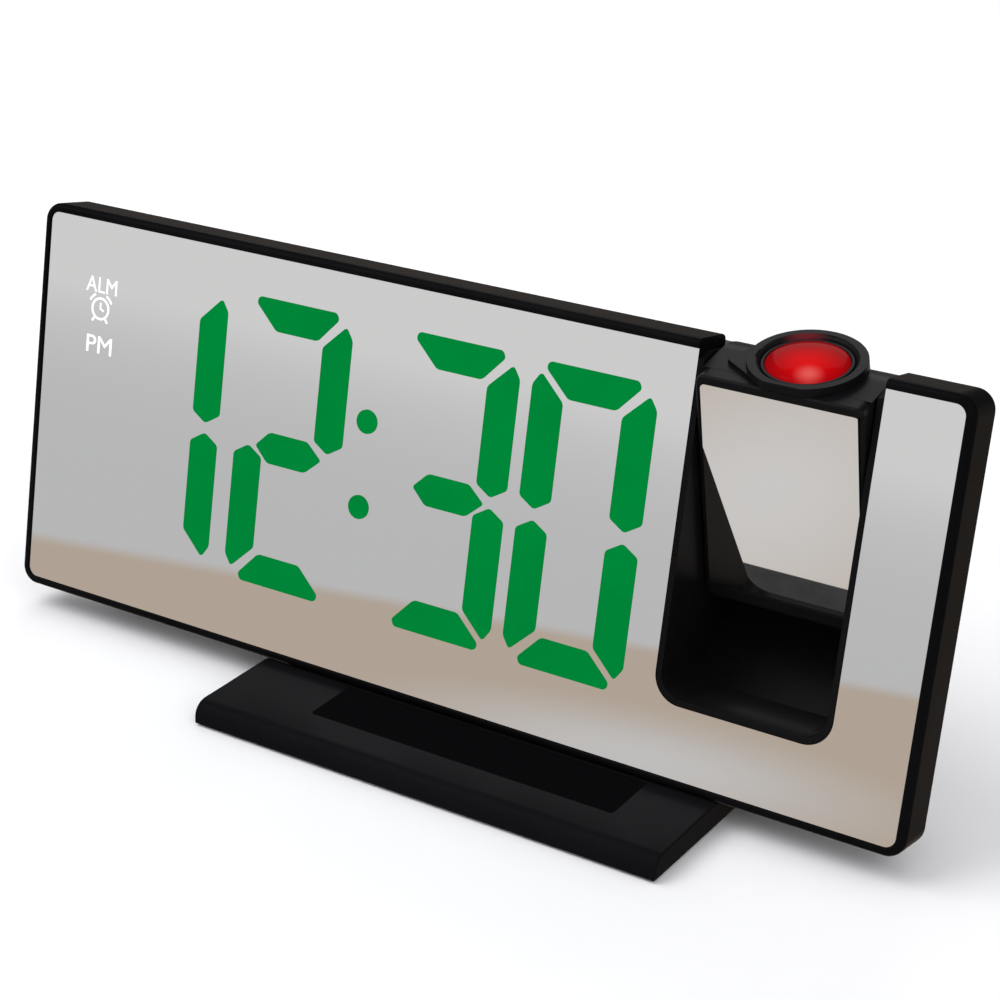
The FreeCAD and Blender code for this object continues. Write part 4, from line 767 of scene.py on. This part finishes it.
class ClockStage(bpy.types.Operator):
    """Makes the floor, lights, surroundings and camera"""
    bl_idname = "clock.stage"
    bl_label = "Stage"

    def execute(self, context):
        studio = context.scene.clock_studio
        self.add_floor(context)
        self.add_lights(context, studio)
        self.add_surroundings(context, studio)
        self.add_camera(context, studio)
        context.scene.view_settings.view_transform = "Standard"
        return {"FINISHED"}

    def add_floor(self, context):
        bm = bmesh.new()
        bmesh.ops.create_grid(bm, x_segments=8, y_segments=8, size=6.0)
        mesh = bpy.data.meshes.new("studio_floor")
        bm.to_mesh(mesh)
        bm.free()
        floor = bpy.data.objects.new("studio_floor", mesh)
        context.scene.collection.objects.link(floor)
        mesh.materials.append(self.floor_material())

    def floor_material(self):
        """Pale to the camera; reflections get a painted warm tone nearby and a painted pale one farther out.
        """
        material = moulded("floor_pale", (0.88, 0.88, 0.89), (0.87, 0.87, 0.88), 0.6, 0.65, 40.0, 0.0,
                           Specular_IOR_Level=0.0)
        tree = material.node_tree
        shader = tree.nodes["Principled BSDF"]
        pale = shader.inputs["Base Color"].links[0].from_socket
        place = tree.nodes.new("ShaderNodeTexCoord").outputs["Object"]
        # Painted reflection: glossy rays see emitted tones instead of the lit floor.
        path = tree.nodes.new("ShaderNodeLightPath").outputs["Is Glossy Ray"]
        beyond = fade(tree, place, (-0.81, -1.0, 0.0), 0.185, 0.215)
        far = fade(tree, place, (-0.1, -1.0, 0.0), 0.2, 1.6)
        tone = blend(tree, far, (0.545, 0.54, 0.54), (0.70, 0.69, 0.68))
        tone = blend(tree, beyond, (0.50, 0.415, 0.34), tone)
        # Painted reflection: a paler patch close to the clock.
        near = add_group(material, "round_fade", place, Centre=(0.028, -0.040, 0.0), Radius=0.066)
        tone = blend(tree, near.outputs["Mask"], tone, (0.605, 0.585, 0.57))
        tree.links.new(blend(tree, path, pale, (0.0, 0.0, 0.0)), shader.inputs["Base Color"])
        tree.links.new(blend(tree, path, (0.0, 0.0, 0.0), tone), shader.inputs["Emission Color"])
        shader.inputs["Emission Strength"].default_value = 1.0
        return material

    def add_lights(self, context, studio):
        aim = Vector((0.0, 0.0, 0.04))
        rows = (("key", (-0.45, -0.35, 0.85), 0.7, studio.key_power),
                ("fill", (0.8, -0.5, 0.6), 0.6, studio.fill_power),
                ("rear", (-0.3, 0.8, 0.7), 0.6, studio.fill_power))
        for name, place, size, power in rows:
            lamp = bpy.data.lights.new(name, "AREA")
            lamp.energy = power
            lamp.size = size
            holder = bpy.data.objects.new(name, lamp)
            holder.location = place
            holder.rotation_euler = (aim - Vector(place)).to_track_quat("-Z", "Y").to_euler()
            context.scene.collection.objects.link(holder)

    def add_surroundings(self, context, studio):
        """White to the camera, pale all round, and dim behind the clock in reflections."""
        world = bpy.data.worlds.new("studio")
        world.use_nodes = True
        tree = world.node_tree
        shade = tree.nodes["Background"]
        shade.inputs["Strength"].default_value = studio.world
        place = tree.nodes.new("ShaderNodeTexCoord")
        split = tree.nodes.new("ShaderNodeSeparateXYZ")
        tree.links.new(place.outputs["Generated"], split.inputs["Vector"])
        ramp = tree.nodes.new("ShaderNodeValToRGB")
        ramp.color_ramp.elements[0].position = 0.0
        ramp.color_ramp.elements[0].color = (0.77, 0.76, 0.75, 1)
        ramp.color_ramp.elements[1].position = 0.35
        ramp.color_ramp.elements[1].color = (0.80, 0.80, 0.82, 1)
        tree.links.new(split.outputs["Z"], ramp.inputs["Fac"])
        path = tree.nodes.new("ShaderNodeLightPath")
        behind = fade(tree, place.outputs["Generated"], (0.0, 1.0, 0.0), 0.05, 0.45)
        dim = tree.nodes.new("ShaderNodeMath")
        dim.operation = "MULTIPLY"
        tree.links.new(behind, dim.inputs[0])
        tree.links.new(path.outputs["Is Glossy Ray"], dim.inputs[1])
        tone = blend(tree, dim.outputs["Value"], ramp.outputs["Color"], (0.16, 0.16, 0.165))
        tone = blend(tree, path.outputs["Is Camera Ray"], tone, (1.1, 1.1, 1.1))
        tree.links.new(tone, shade.inputs["Color"])
        context.scene.world = world

    def add_camera(self, context, studio):
        azimuth, elevation, roll = (math.radians(a) for a in (studio.azimuth, studio.elevation, studio.roll))
        back = Vector((math.sin(azimuth) * math.cos(elevation), -math.cos(azimuth) * math.cos(elevation),
                       math.sin(elevation)))
        right = Vector((math.cos(azimuth), math.sin(azimuth), 0.0))
        down = (-back).cross(right)
        side = math.cos(roll) * right - math.sin(roll) * down
        low = math.sin(roll) * right + math.cos(roll) * down
        view = Matrix((side, -low, back)).transposed().to_4x4()
        camera = bpy.data.cameras.new(studio.camera_name)
        camera.lens = studio.focal
        camera.sensor_width = 36.0
        camera.clip_start = 0.01
        holder = bpy.data.objects.new(studio.camera_name, camera)
        context.scene.collection.objects.link(holder)
        holder.matrix_world = Matrix.Translation(Vector(studio.camera_at) * MM) @ view
        context.scene.camera = holder


class ClockPanel(bpy.types.Panel):
    """The clock's values and operators in the sidebar"""
    bl_idname = "VIEW3D_PT_clock"
    bl_label = "Clock"
    bl_space_type = "VIEW_3D"
    bl_region_type = "UI"
    bl_category = "Clock"

    def draw(self, context):
        layout = self.layout
        for group in (context.scene.clock_surface, context.scene.clock_studio):
            for name in group.__annotations__:
                layout.prop(group, name)
        for operator in PIECES:
            layout.operator(operator.bl_idname)


PIECES = (ClockHousing, ClockDisplay, ClockMarks, ClockHead, ClockLens, ClockBase, ClockBack, ClockStage)
CLASSES = (ClockSurface, ClockStudio, *PIECES, ClockPanel)


def register():
    for item in CLASSES:
        bpy.utils.register_class(item)
    bpy.types.Scene.clock_surface = PointerProperty(type=ClockSurface)
    bpy.types.Scene.clock_studio = PointerProperty(type=ClockStudio)


def unregister():
    del bpy.types.Scene.clock_studio
    del bpy.types.Scene.clock_surface
    for item in reversed(CLASSES):
        bpy.utils.unregister_class(item)


def main():
    register()
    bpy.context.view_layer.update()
    make_materials(bpy.context.scene.clock_surface)
    for operator in PIECES:
        group, name = operator.bl_idname.split(".")
        getattr(getattr(bpy.ops, group), name)()


if __name__ == "__main__":
    main()
